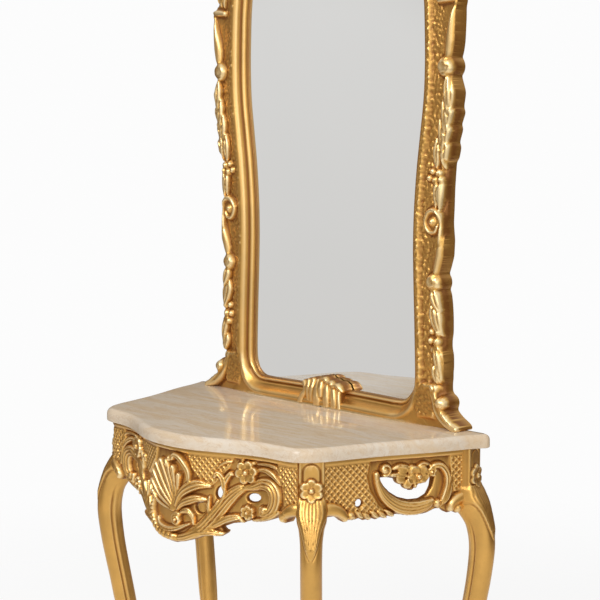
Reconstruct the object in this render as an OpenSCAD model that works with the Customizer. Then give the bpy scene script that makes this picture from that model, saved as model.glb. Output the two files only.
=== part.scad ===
// Carved and gilded console table with a marble top and a tall standing mirror.
// The floor is Z = 0, X = 0 is the plane of symmetry, and the wall is on the +Y side.

/* [Marble top] */
// Width of the marble across its back corners
top_w = 1000; // [900:10:1200]
// Depth of the marble from the wall side to the tip of the front bulge
top_depth = 520; // [480:5:600]
// Thickness of the marble
top_t = 30; // [24:1:34]
// Height of the upper marble face above the floor
table_h = 800; // [760:5:860]
// Rounding of the marble's upper arris
top_round = 12; // [6:1:14]

/* [Aprons] */
// How far the marble stands out over the aprons
overhang = 17; // [14:1:22]
// Thickness of the curved apron boards
apron_t = 24; // [20:1:28]
// Depth of the plain board behind the lattice, below the marble
apron_h = 150; // [135:1:160]
// How far the front carving hangs below the marble
front_drop = 223; // [200:1:235]
// Height of the plain fillet under the marble
fillet_h = 13; // [9:1:16]
// How far the fillet stands out of the apron
fillet_out = 3; // [2:0.5:4]
// Height of the straight rail at the back
back_rail_h = 80; // [65:1:100]
// Thickness of the back rail
back_rail_t = 22; // [18:1:26]

/* [Legs] */
// Side of the square block at the head of each leg
leg_block = 57; // [52:1:62]
// Height of the square block
leg_block_h = 128; // [115:1:138]
// Distance of the marble edge from the face of a front leg block
front_leg_in = 12; // [10:1:18]
// Distance of a rear block's centre from the back corner, across
rear_leg_x = 54; // [50:1:75]
// Distance of a rear block's centre from the back of the table
rear_leg_y = 37; // [37:1:50]
// Turn of the rear legs away from the front, from the front legs' 45
rear_turn = 108; // [95:1:108]
// Reach of the knee's outermost point from the block centre
knee_out = 76; // [66:1:80]
// Width of the leg below the knee
leg_w = 45; // [40:1:54]
// Width of the leg at the ankle
ankle_w = 36; // [30:1:42]
// Diameter of the glide under each foot
glide_d = 30; // [24:1:34]
// Thickness of the glide
glide_t = 4; // [3:0.5:6]

/* [Mirror] */
// Widest opening of the frame
sight_w = 608; // [560:4:640]
// Height of the opening from its lower edge to the crown
sight_h = 1160; // [1080:10:1260]
// Height of the lower rail, up to the opening
rail_h = 44; // [38:1:56]
// Width of the moulded frame
frame_w = 84; // [76:1:92]
// Thickness of the frame at its ridge
frame_t = 45; // [40:1:50]
// Width of the rebate behind the opening
rebate_w = 12; // [10:1:15]
// Play between the glass and the rebate wall
rebate_gap = 1.5; // [1:0.5:2.5]
// Thickness of the mirror glass
glass_t = 5; // [4:0.5:6]
// Thickness of the backing board
board_t = 9; // [6:1:10]
// Reach of each toe from the plane of symmetry
toe_x = 436; // [425:1:450]
// Height of the crest above the moulded arch
crest_h = 112; // [90:1:130]
// Thickness of the carved crest
crest_t = 26; // [20:1:32]

/* [Hardware] */
// Thickness of the steel plates that join mirror and table
plate_t = 3; // [3:0.5:4]
// Width of a joining plate
plate_w = 44; // [38:1:52]
// Distance of each joining plate from the plane of symmetry
plate_x = 165; // [120:5:180]
// Shank diameter of the wood screws
screw_d = 4; // [3.5:0.5:5]
// Length of the wood screws
screw_l = 24; // [18:1:28]
// Diameter of the leg bolts
bolt_d = 8; // [6:1:10]
// Thickness of the corner blocks
block_t = 22; // [18:1:28]
// Diameter of the wall screw hole in a hanger plate
hanger_hole_d = 10; // [8:0.5:12]
// Thickness of the hanger plates and turn buttons
tin_t = 2; // [1.5:0.5:2.5]
// Thickness of the pads under the marble
pad_t = 2; // [1.5:0.5:3]

/* [Hidden] */
$fn = 32;
gold = "goldenrod";
eps = 0.01;
far = 2000;

// The whole depth is the marble and the plates behind it, centred on Y = 0
whole_depth = top_depth + plate_t;
back_y = whole_depth / 2 - plate_t;
carcass_z = table_h - top_t;
half_top = top_w / 2;

// Right half of the marble's edge, as shares of the half width and of the depth from the back
edge_shape = [[0, 1], [0.096, 0.994], [0.176, 0.975], [0.25, 0.948], [0.33, 0.913], [0.412, 0.881],
    [0.486, 0.862], [0.56, 0.854], [0.616, 0.85], [0.668, 0.833], [0.712, 0.79], [0.742, 0.733],
    [0.764, 0.665], [0.786, 0.588], [0.816, 0.496], [0.858, 0.394], [0.89, 0.321], [0.926, 0.231],
    [0.958, 0.131], [0.988, 0.058], [1, 0.035], [0.992, 0.012], [0.964, 0]];
corner_share = [0.707, 0.782];
edge_steps = 3;

function mix(a, b, t) = a + (b - a) * t;
function unit(v) = v / norm(v);
function turned(v) = [v[1], -v[0]];
function mirrored(pts) = [for (p = pts) [-p[0], p[1]]];
function flipped(pts) = [for (i = [len(pts) - 1:-1:0]) pts[i]];
function cubic(a, b, c, d, t) =
    b + 0.5 * t * (c - a + t * (2 * a - 5 * b + 4 * c - d + t * (3 * (b - c) + d - a)));
// A smooth curve through the points, with n steps between each pair
function curve(pts, n) = let (last = len(pts) - 1) [
    for (i = [0:last - 1], k = [0:n - 1])
        cubic(pts[max(i - 1, 0)], pts[i], pts[i + 1], pts[min(i + 2, last)], k / n), pts[last]];
function along(pts, i) = let (last = len(pts) - 1)
    unit(pts[min(i + 1, last)] - pts[max(i - 1, 0)]);
// Moves each point of a curve sideways, to the right of its run
function shifted(pts, d) = [for (i = [0:len(pts) - 1]) pts[i] + d * turned(along(pts, i))];

right_edge = curve([for (p = edge_shape) [p[0] * half_top, back_y - p[1] * top_depth]], edge_steps);
// The edge runs from the left back corner round the front to the right one, outside on its right
top_edge = concat(flipped(mirrored(right_edge)), [for (i = [1:len(right_edge) - 1]) right_edge[i]]);

// A closed solid through rings of points, each ring in order
module skin(rings) {
    n = len(rings[0]);
    last = len(rings) - 1;
    polyhedron(
        points = [for (ring = rings, p = ring) p],
        faces = concat([[for (k = [n - 1:-1:0]) k]], [[for (k = [0:n - 1]) last * n + k]],
            [for (j = [0:last - 1], k = [0:n - 1], f = [0, 1]) let (a = j * n + k, b = j * n + (k + 1) % n)
                f == 0 ? [a, b, b + n] : [a, b + n, a + n]]),
        convexity = 6);
}

// A tapered band along a curve, w0 wide at its start and w1 at its end
module band(pts, w0, w1) {
    last = len(pts) - 1;
    half = [for (i = [0:last]) mix(w0, w1, i / last) / 2];
    polygon(concat([for (i = [0:last]) pts[i] + half[i] * turned(along(pts, i))],
        [for (i = [last:-1:0]) pts[i] - half[i] * turned(along(pts, i))]));
}

// Drawings in X and height stand up on their edge, and y0 is the face nearest the wall
module upright(y0, t) translate([0, y0, 0]) rotate([90, 0, 0]) linear_extrude(t) children();

module both_sides() {
    children();
    mirror([1, 0, 0]) children();
}

module flower(r, t) {
    linear_extrude(t) {
        for (a = [0:60:300]) rotate(a) translate([r * 0.62, 0]) circle(r = r * 0.36);
        circle(r = r * 0.5);
    }
    cylinder(r1 = r * 0.3, r2 = r * 0.18, h = t + r * 0.22);
}

// Marble

edge_profile = [[3, 0], [0, 3], [0, top_t - top_round], [top_round * 0.1, top_t - top_round * 0.6],
    [top_round * 0.42, top_t - top_round * 0.2], [top_round, top_t]];
module marble_top() {
    color("blanchedalmond") skin([for (e = edge_profile)
        [for (p = shifted(top_edge, -e[0])) [p[0], min(p[1], back_y - e[0]), carcass_z + e[1]]]]);
}

// Carcass

apron_face = shifted(top_edge, -overhang);
apron_back = shifted(top_edge, -overhang - apron_t);
module apron_ring(out = 0) polygon(concat(shifted(top_edge, out - overhang), flipped(apron_back)));
module inner_region() polygon(apron_back);

front_corner = [corner_share[0] * half_top, back_y - corner_share[1] * top_depth];
facing = [sin(45), -cos(45)];
front_leg = front_corner - (front_leg_in + leg_block / 2) * facing;
rear_leg = [half_top - rear_leg_x, back_y - rear_leg_y];
leg_place = [[front_leg, 45], [rear_leg, rear_turn]];

// A drawing frame for one right-hand leg: local -Y faces out of the table
module at_leg(i) translate(concat(leg_place[i][0], [0])) rotate(leg_place[i][1]) children();
module leg_heads() for (i = [0, 1]) at_leg(i) square(leg_block, center = true);
// The blocks and everything before their outer faces
module leg_fronts() for (i = [0, 1]) at_leg(i)
    translate([-leg_block / 2, -far]) square([leg_block, far + leg_block / 2]);

module front_zone() translate([-front_leg[0], front_leg[1] - far]) square([2 * front_leg[0], far]);
module side_zone() translate(front_leg) square([far, rear_leg[1] - front_leg[1]]);

module apron_body(drop, zone) {
    difference() {
        union() {
            translate([0, 0, carcass_z - drop]) linear_extrude(drop) intersection() {
                apron_ring();
                if (zone == "front") front_zone(); else side_zone();
            }
            translate([0, 0, carcass_z - fillet_h]) linear_extrude(fillet_h) intersection() {
                apron_ring(fillet_out);
                if (zone == "front") front_zone(); else side_zone();
            }
        }
        both_sides() translate([0, 0, carcass_z - drop - eps])
            linear_extrude(drop + 2 * eps) leg_fronts();
        dowel_set();
    }
}

// Dowels across each joint of apron and leg, square to the block's face.
// Each row is a leg, a side of its block, and the distance inwards from the block's centre.
dowel_d = 8;
dowel_l = 28;
dowel_drops = [32, 84];
dowel_rows = [[0, -1, -14], [0, 1, -1], [1, -1, 8]];
block_reach = leg_block / sqrt(2);
module dowel_set() both_sides() for (drop = dowel_drops, r = dowel_rows) at_leg(r[0])
    translate([r[1] * leg_block / 2 - dowel_l / 2, r[2], carcass_z - drop]) rotate([0, 90, 0])
        cylinder(d = dowel_d, h = dowel_l);
module apron_dowels() color("burlywood") dowel_set();

// Lower contour of the front carving: X in shares of the leg distance, and share of the extra drop
front_contour = [[1.05, -0.15], [0.84, -0.1], [0.76, 0.02], [0.62, 0.04], [0.55, 0.22], [0.46, 0.42],
    [0.38, 0.52], [0.28, 0.62], [0.18, 0.84], [0.08, 0.98], [0, 1]];
// Pierced holes of the front carving: X, drop below the carcass, half width, half height
front_holes = [[126, 94, 13, 10], [196, 94, 16, 8], [83, 134, 9, 8], [139, 150, 6, 5]];
module front_lower_edge() {
    extra = front_drop - apron_h;
    right = [for (p = curve(front_contour, 3)) [p[0] * front_leg[0], carcass_z - apron_h - p[1] * extra]];
    polygon(concat([[front_leg[0] * 1.05, carcass_z]], right, flipped(mirrored(right)),
        [[-front_leg[0] * 1.05, carcass_z]]));
}
module front_apron() color(gold) front_solid();
module front_solid() {
    intersection() {
        apron_body(front_drop, "front");
        upright(back_y, top_depth) difference() {
            front_lower_edge();
            both_sides() for (h = front_holes) translate([h[0], carcass_z - h[1]])
                polygon([for (a = [0:30:330]) [h[2] * cos(a), h[3] * sin(a)]]);
        }
    }
}

// Side apron in elevation: distance from the back, and drop below the carcass
side_run = rear_leg[1] - front_leg[1];
side_contour = [[1.08, 118], [0.87, 122], [0.79, 136], [0.68, 140], [0.555, 131], [0.415, 134],
    [0.26, 131], [0.165, 118], [0.09, 116], [-0.1, 116]];
// The half moon: its rim, and above it the edge left by the hanging flower
moon_rim = [[0.588, 52], [0.574, 68], [0.527, 88], [0.46, 99], [0.403, 101], [0.337, 97],
    [0.271, 82], [0.242, 62], [0.252, 54]];
moon_top = [[0.299, 60], [0.342, 76], [0.403, 82], [0.465, 76], [0.508, 62]];
function side_point(p) = [rear_leg[1] - p[0] * side_run, carcass_z - p[1] * apron_h / 150];
module side_apron() color(gold) side_solid();
module side_outline() polygon(concat([[rear_leg[1] - 1.3 * side_run, carcass_z]],
    [for (p = curve(side_contour, 3)) side_point(p)], [[back_y, carcass_z]]));
module side_solid() {
    intersection() {
        apron_body(apron_h, "side");
        rotate([90, 0, 90]) linear_extrude(far) difference() {
            side_outline();
            polygon([for (p = concat(curve(moon_rim, 2), moon_top)) side_point(p)]);
            translate(side_point([0.787, 103])) circle(d = 11);
        }
    }
}

module back_rail() {
    color("peru") difference() {
        translate([-half_top, back_y - back_rail_t, carcass_z - back_rail_h]) difference() {
            cube([top_w, back_rail_t, back_rail_h]);
            for (x = [half_top - plate_x, half_top + plate_x], s = plate_holes)
                translate([x + s, back_rail_t, back_rail_h - plate_low]) plate_screw_hole();
        }
        both_sides() translate([0, 0, carcass_z - back_rail_h - eps])
            linear_extrude(back_rail_h + 2 * eps) {
                leg_heads();
                translate([rear_leg[0] - 4, back_y - far]) square(2 * far);
            }
        cleat_screw_holes();
        rail_screw_set(0.5);
    }
}
// Screws from behind through the rail's ends into the rear legs
rail_screw_l = 45;
module rail_screw_set(head_in) both_sides() for (drop = [24, 58])
    translate([rear_leg[0] - 20, back_y, carcass_z - drop]) rotate([90, 0, 0]) {
        cylinder(d = screw_d, h = rail_screw_l);
        translate([0, 0, -eps]) cylinder(d1 = screw_d * 2, d2 = screw_d, h = screw_d * head_in);
    }
module rail_screws() color("silver") rail_screw_set(0.5);

// Legs: height share, outer and inner reach from the block's centre, half width.
// Reaches of the knee are shares of knee_out, and the foot ends in a small turned-out toe.
// Stations above 1 lie in the block, where the knee begins on the outer side alone.
leg_run = carcass_z - leg_block_h - glide_t;
knee_w = leg_block / 2 - 1.5;
knee_stations = [[1.07, 0.37, 0, knee_w], [1.055, 0.5, 0, knee_w], [1.035, 0.64, 0, knee_w],
    [0.995, 0.77, -0.36, knee_w], [0.975, 0.83, -0.12, knee_w - 1], [0.94, 0.915, 0.1, leg_w / 2 + 2],
    [0.91, 0.965, 0.185, leg_w / 2 + 1], [0.87, 1, 0.235, leg_w / 2], [0.82, 0.985, 0.225, leg_w / 2],
    [0.74, 0.89, 0.155, leg_w / 2], [0.67, 0.78, 0.06, leg_w / 2], [0.59, 0.64, -0.06, leg_w / 2],
    [0.5, 0.495, -0.195, leg_w / 2], [0.4, 0.29, -0.31, leg_w / 2],
    [0.3, 0.12, -0.42, ankle_w * 0.56], [0.2, -0.01, -0.5, ankle_w / 2],
    [0.12, -0.03, -0.52, ankle_w / 2], [0.07, 0.06, -0.48, ankle_w * 0.55],
    [0.035, 0.26, -0.4, ankle_w * 0.66], [0.012, 0.32, -0.32, ankle_w * 0.66],
    [0, 0.24, -0.28, ankle_w * 0.56]];
// The section is square at the block, and its outer face is rounded below
function leg_ring(u0, u1, w, soft, z) = let (c = (u0 + u1) / 2, h = (u0 - u1) / 2) [
    for (a = [0:22.5:337.5]) let (
        s = pow(pow(abs(cos(a)), soft) + pow(abs(sin(a)), soft), -1 / soft),
        x = s * cos(a) * w, y = -s * sin(a) * h - c) [x, y, z]];
module leg(i) {
    color(gold) difference() {
        at_leg(i) union() {
            translate([0, 0, carcass_z - leg_block_h / 2])
                cube([leg_block, leg_block, leg_block_h], center = true);
            skin([for (s = flipped(knee_stations)) leg_ring(s[1] * knee_out, s[2] * knee_out, s[3],
                s[0] > 0.93 ? 6 : 3, glide_t + s[0] * leg_run)]);
        }
        leg_bolt_holes();
        dowel_set();
        rail_screw_set(0.5);
    }
}
sole = knee_stations[len(knee_stations) - 1];
foot_centre = -knee_out * (sole[1] + sole[2]) / 2;
module foot_glides() {
    color("dimgray") both_sides() for (i = [0, 1]) at_leg(i)
        translate([0, foot_centre, 0]) cylinder(d = glide_d, h = glide_t);
}

// Corner blocks behind the legs, each held by one bolt with a washer and a nut
bolt_z = carcass_z - back_rail_h / 2;
bolt_in_leg = 22;
washer_t = 1.6;
nut_t = bolt_d * 0.8;
block_h = back_rail_h * 0.75;
block_w = leg_block + 60;
bolt_l = bolt_in_leg + block_t + washer_t + nut_t + 4;
module bolt_line(from, length, d) {
    for (i = [0, 1]) at_leg(i) translate([0, leg_block / 2 + from, bolt_z]) rotate([-90, 0, 0])
        cylinder(d = d, h = length);
}
module leg_bolt_holes() both_sides() bolt_line(-bolt_in_leg, bolt_in_leg + block_t + eps, bolt_d);
module corner_blocks() {
    color("burlywood") both_sides() difference() {
        intersection() {
            for (i = [0, 1]) at_leg(i) translate([-block_w / 2, leg_block / 2, bolt_z - block_h / 2])
                cube([block_w, block_t, block_h]);
            linear_extrude(table_h) difference() {
                inner_region();
                translate([-far, back_y - back_rail_t]) square(2 * far);
            }
        }
        leg_bolt_holes();
    }
}
module leg_bolts() color("silver") both_sides() bolt_line(-bolt_in_leg, bolt_l, bolt_d);
module bolt_washers() {
    color("silver") both_sides() difference() {
        bolt_line(block_t, washer_t, bolt_d * 2.4);
        bolt_line(block_t - eps, washer_t + 2 * eps, bolt_d);
    }
}
module bolt_nuts() {
    color("silver") both_sides() difference() {
        for (i = [0, 1]) at_leg(i) translate([0, leg_block / 2 + block_t + washer_t, bolt_z])
            rotate([-90, 0, 0]) cylinder(d = bolt_d * 1.9, h = nut_t, $fn = 6);
        bolt_line(block_t + washer_t - eps, nut_t + 2 * eps, bolt_d);
    }
}

// Two bearers carry the marble on soft pads, and hang on cleats at the back rail
bearer_x = 130;
bearer_w = 34;
bearer_h = 42;
bearer_z = carcass_z - pad_t - bearer_h;
module bearer() {
    color("burlywood") intersection() {
        translate([bearer_x - bearer_w / 2, back_y - top_depth, bearer_z])
            cube([bearer_w, top_depth - back_rail_t, bearer_h]);
        linear_extrude(table_h) inner_region();
    }
}
pad_d = 18;
pad_pitch = 150;
module marble_pads() {
    color("lightgray") both_sides() for (k = [0:2])
        translate([bearer_x, back_y - back_rail_t - 60 - k * pad_pitch, carcass_z - pad_t])
            cylinder(d = pad_d, h = pad_t);
}
cleat = 18;
cleat_z = bearer_z - cleat;
module bearer_cleats() {
    color("burlywood") difference() {
        both_sides() translate([bearer_x - bearer_w, back_y - back_rail_t - cleat, cleat_z])
            cube([2 * bearer_w, cleat, cleat]);
        cleat_screw_holes();
    }
}
module cleat_screw_row(d, from, length) {
    both_sides() for (x = [-22, 22])
        translate([bearer_x + x, back_y - back_rail_t - cleat + from, cleat_z + cleat / 2])
            rotate([-90, 0, 0]) cylinder(d = d, h = length);
}
cleat_screw_l = cleat + 12;
module cleat_screw_holes() cleat_screw_row(screw_d, -eps, cleat_screw_l + eps);
module cleat_screws() {
    color("silver") {
        cleat_screw_row(screw_d, 0, cleat_screw_l);
        cleat_screw_row(screw_d * 2, -2, 2);
    }
}

// Carvings on the table

relief = 12;
// Keeps a drawing in X and height as a layer on the face of the front apron
module on_front(t) {
    intersection() {
        linear_extrude(table_h) difference() {
            polygon(shifted(top_edge, t - overhang));
            polygon(apron_face);
        }
        upright(front_leg[1], top_depth) children();
    }
}
fan_eye = [26, carcass_z - 157];
fan_reach = 112;
module front_cartouche() {
    color(gold) on_front(relief) intersection() {
        union() {
            // the fan, seven lobes from an eye
            for (k = [0:6]) translate(fan_eye) rotate(80 + k * 15)
                translate([fan_reach * 0.5, 0]) scale([1, 0.28]) circle(r = fan_reach * 0.5);
            translate(fan_eye) circle(r = 18);
            // the scroll under the fan, from the left round to the foot of the carving
            band(curve([[-88, carcass_z - 99], [-94, carcass_z - 135], [-76, carcass_z - 178],
                [-38, carcass_z - 206], [2, carcass_z - 212]], 5), 12, 26);
            // leaf sprays to both sides
            both_sides() band(curve([[4, carcass_z - 208], [50, carcass_z - 189], [95, carcass_z - 162],
                [120, carcass_z - 121], [143, carcass_z - 76]], 5), 26, 10);
            both_sides() band(curve([[30, carcass_z - 202], [86, carcass_z - 191],
                [139, carcass_z - 179]], 5), 22, 6);
            both_sides() band(curve([[95, carcass_z - 154], [163, carcass_z - 130], [223, carcass_z - 112],
                [238, carcass_z - 80], [203, carcass_z - 62]], 5), 20, 10);
        }
        front_lower_edge();
    }
}
// Flowers of the front apron: distance from the leg's centre, drop below the carcass, radius
front_flowers = [[133, 44, 24], [129, 126, 16]];
face_line = [for (p = apron_face) if (abs(p[0]) <= front_leg[0] && p[1] < front_leg[1]) p];
module on_apron(x, z) {
    slope = atan2(lookup(x + 5, face_line) - lookup(x - 5, face_line), 10);
    translate([x, lookup(x, face_line), z]) rotate(slope) rotate([90, 0, 0]) children();
}
module apron_flowers() {
    color(gold) both_sides() difference() {
        for (f = front_flowers) on_apron(front_leg[0] - f[0], carcass_z - f[1])
            translate([0, 0, relief / 2 - relief]) flower(f[2], relief * 1.5);
        linear_extrude(table_h) polygon(apron_face);
        front_cartouche();
    }
}
module hanging_flowers() {
    color(gold) both_sides() intersection() {
        linear_extrude(table_h) difference() {
            polygon(shifted(top_edge, relief - overhang));
            polygon(apron_face);
        }
        translate(concat([0], side_point([0.403, 62]))) rotate([90, 0, 90]) cylinder(r = 22, h = far);
    }
}
// A rosette on each block, just above the place where the knee begins
rosette_r = 21.5;
module leg_rosettes() {
    color(gold) both_sides() for (i = [0, 1]) at_leg(i)
        translate([0, -leg_block / 2, glide_t + knee_stations[0][0] * leg_run + rosette_r])
            rotate([90, 0, 0]) flower(rosette_r, 7);
}
// Volute brackets fill the angles between the knees and the lower edges of the aprons
bracket_r = 14;
bracket_l = 40;
bracket_drop = 134;
module bracket_outline() {
    translate([bracket_l, 0]) circle(r = bracket_r);
    band(curve([[-30, -34], [-6, -24], [8, -2], [24, 10], [bracket_l, bracket_r - 3]], 4), 22, 10);
    translate([0, -4]) square([bracket_l, bracket_r]);
}
// A layer as thick as the aprons, over the whole run
module apron_layer() linear_extrude(table_h) apron_ring(relief / 3);
module clear_of_legs() both_sides() linear_extrude(table_h) for (i = [0, 1]) at_leg(i)
    translate([0, -far / 2 + leg_block / 2]) square([leg_block + 9, far], center = true);
module knee_brackets() {
    color(gold) both_sides() difference() {
        intersection() {
            apron_layer();
            union() {
                upright(back_y, top_depth) difference() {
                    translate([front_leg[0] - block_reach, carcass_z - bracket_drop])
                        mirror([1, 0]) bracket_outline();
                    front_lower_edge();
                }
                rotate([90, 0, 90]) linear_extrude(far) difference() {
                    union() {
                        translate([front_leg[1] + block_reach, carcass_z - bracket_drop])
                            bracket_outline();
                        translate([rear_leg[1] - block_reach * 0.9, carcass_z - bracket_drop])
                            mirror([1, 0]) bracket_outline();
                    }
                    side_outline();
                }
            }
        }
        clear_of_legs();
    }
}

// Mirror frame. Heights here are above the marble; depths are forward from the back face.

half_sight = sight_w / 2;
// Right half of the opening, from the foot upwards: shares of the half width and of the height
side_shape = [[0.925, 0.048], [0.923, 0.09], [0.914, 0.16], [0.902, 0.237], [0.895, 0.306],
    [0.901, 0.375], [0.924, 0.453], [0.957, 0.522], [0.99, 0.591], [1, 0.651], [0.997, 0.711],
    [0.984, 0.78], [0.95, 0.841]];
arch_shape = [[0.95, 0.841], [0.882, 0.893], [0.763, 0.928], [0.609, 0.945], [0.428, 0.966],
    [0.23, 0.992], [0, 1]];
corner_shape = [[0, 0.002], [0.395, 0.001], [0.74, 0], [0.83, 0.004], [0.882, 0.016], [0.915, 0.03],
    [0.925, 0.048]];
function sight(p) = [p[0] * half_sight, rail_h + p[1] * sight_h];
side_line = curve([for (p = side_shape) sight(p)], 2);
arch_line = curve([for (p = arch_shape) sight(p)], 3);
corner_line = curve([for (p = corner_shape) sight(p)], 2);
whole_line = concat(corner_line, [for (i = [1:len(side_line) - 1]) side_line[i]],
    [for (i = [1:len(arch_line) - 1]) arch_line[i]]);
line_last = len(whole_line) - 1;
side_first = len(corner_line) - 1;
arch_first = side_first + len(side_line) - 1;
// The run's direction is kept level at both ends, where the two halves meet
function run_at(i) = i == 0 ? [1, 0] : i == line_last ? [-1, 0] : along(whole_line, i);
function beside(i, u) = whole_line[i] + u * turned(run_at(i));
function opening(u) = let (right = [for (i = [0:line_last]) beside(i, u)])
    concat(right, [for (i = [line_last - 1:-1:1]) [-right[i][0], right[i][1]]]);
module opening_shape(u) polygon(opening(u));

rebate_t = glass_t + board_t;
// Section of the moulding: distance out from the opening, height forward from the back
ridge = frame_t / 45;
moulding = [[0, rebate_t], [0, 32 * ridge], [5, 36 * ridge], [10, 33 * ridge], [12, 29 * ridge],
    [16, 31 * ridge], [24, 41 * ridge], [frame_w * 0.42, frame_t], [frame_w * 0.52, 44 * ridge],
    [frame_w * 0.6, 37 * ridge], [frame_w * 0.72, 33 * ridge], [frame_w * 0.9, 31 * ridge],
    [frame_w, 25 * ridge], [frame_w, 0], [rebate_w, 0], [rebate_w, rebate_t]];
function moulding_ring(i) = [for (m = moulding) let (p = beside(i, m[0]))
    [p[0], back_y - m[1], table_h + p[1]]];
module stile() {
    color(gold) difference() {
        skin([for (i = [side_first:arch_first]) moulding_ring(i)]);
        frame_key_slots();
        back_screw_holes();
    }
}
module arch() {
    color(gold) difference() {
        skin([for (i = [arch_first:line_last]) moulding_ring(i)]);
        frame_key_slots();
        hanger_pockets();
        back_screw_holes();
    }
}

// The frame's outer edge is carved from the foot to the crown.
// Each pair is a share of the strip's length and its reach beyond the moulding.
stile_reach = [[0, 17], [0.05, 16], [0.09, 15], [0.14, 19], [0.19, 15], [0.23, 3], [0.28, 12], [0.32, 20],
    [0.36, 20], [0.4, 17], [0.44, 21], [0.49, 14], [0.54, 16], [0.58, 25], [0.63, 20], [0.67, 23],
    [0.71, 25], [0.75, 14], [0.8, 17], [0.85, 20], [0.9, 17], [0.95, 24], [1, 20]];
arch_reach = [[0, 20], [0.1, 12], [0.2, 20], [0.3, 24], [0.42, 14], [0.55, 22], [0.7, 16], [0.85, 20],
    [1, 20]];

// The foot is a corner block from the base rail to the stile, with a toe that flares out
foot_in = 0.74 * half_sight;
foot_top = beside(side_first, frame_w + stile_reach[0][1]);
foot_t = frame_t * 0.9;
module foot_outline() {
    // a low leaf, then a hollow, then a round roll under the stile
    outer = curve([[toe_x, 0], [toe_x - 2, 8], [toe_x - 17, 18], [toe_x - 38, 31], [toe_x - 42, 39],
        [toe_x - 36, 50], [toe_x - 37, 60], [toe_x - 47, 71], [toe_x - 56, 80], foot_top], 3);
    polygon(concat([[foot_in, 0]], outer,
        [for (i = [side_first:-1:4]) beside(i, 0)]));
}
module mirror_foot() {
    color(gold) difference() {
        translate([0, 0, table_h]) upright(back_y, foot_t) foot_outline();
        glass_rebate();
        frame_key_slots();
        back_screw_holes();
    }
}
module glass_rebate() translate([0, 0, table_h]) upright(back_y + eps, rebate_t + eps)
    opening_shape(rebate_w);

// Section of the base rail: height, and depth forward from the back
base_section = [[0, frame_t * 1.15], [5, frame_t * 1.18], [rail_h * 0.3, frame_t * 1.1],
    [rail_h * 0.45, frame_t * 0.9], [rail_h * 0.62, frame_t * 0.72], [rail_h * 0.8, frame_t * 0.76],
    [rail_h * 0.93, frame_t * 0.7], [rail_h, frame_t * 0.56]];
module mirror_base_rail() {
    color(gold) difference() {
        translate([-foot_in, back_y, table_h]) rotate([90, 0, 90]) linear_extrude(2 * foot_in)
            polygon(concat([[0, 0]], [for (s = base_section) [-s[1], s[0]]], [[0, rail_h]]));
        glass_rebate();
        frame_key_slots();
        back_screw_holes();
        translate([0, back_y, table_h + plate_up]) both_sides() for (s = plate_holes)
            translate([plate_x + s, 0, 0]) plate_screw_hole();
    }
}

// Flat keys are let into the back across each joint of the frame
key_w = 22;
key_l = 56;
key_t = 10;
module key_at(p, run) translate([p[0], back_y, table_h + p[1]]) rotate([90, 0, 0])
    rotate(atan2(run[1], run[0])) translate([-key_l / 2, -key_w / 2, 0]) cube([key_l, key_w, key_t]);
module frame_key_set() {
    both_sides() {
        key_at(beside(side_first, frame_w * 0.6), run_at(side_first));
        key_at(beside(arch_first, frame_w * 0.6), run_at(arch_first));
        key_at([foot_in, rail_h * 0.36], [1, 0]);
    }
    key_at(beside(line_last, frame_w * 0.6), [1, 0]);
}
module frame_keys() color("burlywood") frame_key_set();
module frame_key_slots() {
    frame_key_set();
    translate([0, eps, 0]) frame_key_set();
}

// Glass and board lie in the rebate, flush with the back
module mirror_glass() {
    color("lightsteelblue") translate([0, 0, table_h]) upright(back_y - board_t, glass_t)
        opening_shape(rebate_w - rebate_gap);
}
module backing_board() {
    color("sienna") translate([0, 0, table_h]) upright(back_y, board_t)
        opening_shape(rebate_w - rebate_gap);
}

// Turn buttons over the board, each with one screw in the frame
button_at = [side_first + 3, side_first + 9, side_first + 15, arch_first - 2, arch_first + 8];
button_l = 34;
button_w = 12;
screw_out = rebate_w + 9;
module back_plates() both_sides() for (i = button_at) {
    p = beside(i, screw_out);
    r = run_at(i);
    translate([p[0], back_y, table_h + p[1]]) rotate([-90, 0, 0]) rotate(-atan2(r[1], r[0]))
        translate([-button_w / 2, -8, 0]) cube([button_w, button_l, tin_t]);
}
module back_screws(from, length, d) both_sides() {
    for (i = button_at) {
        p = beside(i, screw_out);
        translate([p[0], back_y + from, table_h + p[1]]) rotate([90, 0, 0]) cylinder(d = d, h = length);
    }
}
module back_screw_holes() {
    back_screws(eps, 14, 3);
    hanger_screw_row(eps, 14, 3);
}
module turn_buttons() {
    color("silver") difference() {
        back_plates();
        back_screws(tin_t + eps, tin_t + 2 * eps, 3);
    }
}
module button_screws() {
    color("silver") {
        back_screws(tin_t, 14 + tin_t, 3);
        back_screws(tin_t + 0.8, 0.8, 6);
    }
}

// Hanger plates with a wall screw hole, over a pocket in each arch
hanger_p = beside(arch_first + 2, frame_w * 0.5);
hanger_x = hanger_p[0];
hanger_z = table_h + hanger_p[1];
module hanger_outline() intersection() {
    square([60, 26], center = true);
    circle(d = 62);
}
module hanger_plates() {
    color("silver") both_sides() difference() {
        translate([hanger_x, back_y + tin_t, hanger_z]) rotate([90, 0, 0]) linear_extrude(tin_t)
            hanger_outline();
        translate([hanger_x, back_y + tin_t + eps, hanger_z]) rotate([90, 0, 0])
            cylinder(d = hanger_hole_d, h = tin_t + 2 * eps);
        hanger_screw_row(tin_t + eps, tin_t + 2 * eps, 3);
    }
}
module hanger_pockets() both_sides() translate([hanger_x, back_y + eps, hanger_z]) rotate([90, 0, 0])
    cylinder(d = hanger_hole_d + 4, h = 12);
module hanger_screw_row(from, length, d) both_sides() for (s = [-22, 22])
    translate([hanger_x + s, back_y + from, hanger_z]) rotate([90, 0, 0]) cylinder(d = d, h = length);
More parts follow.
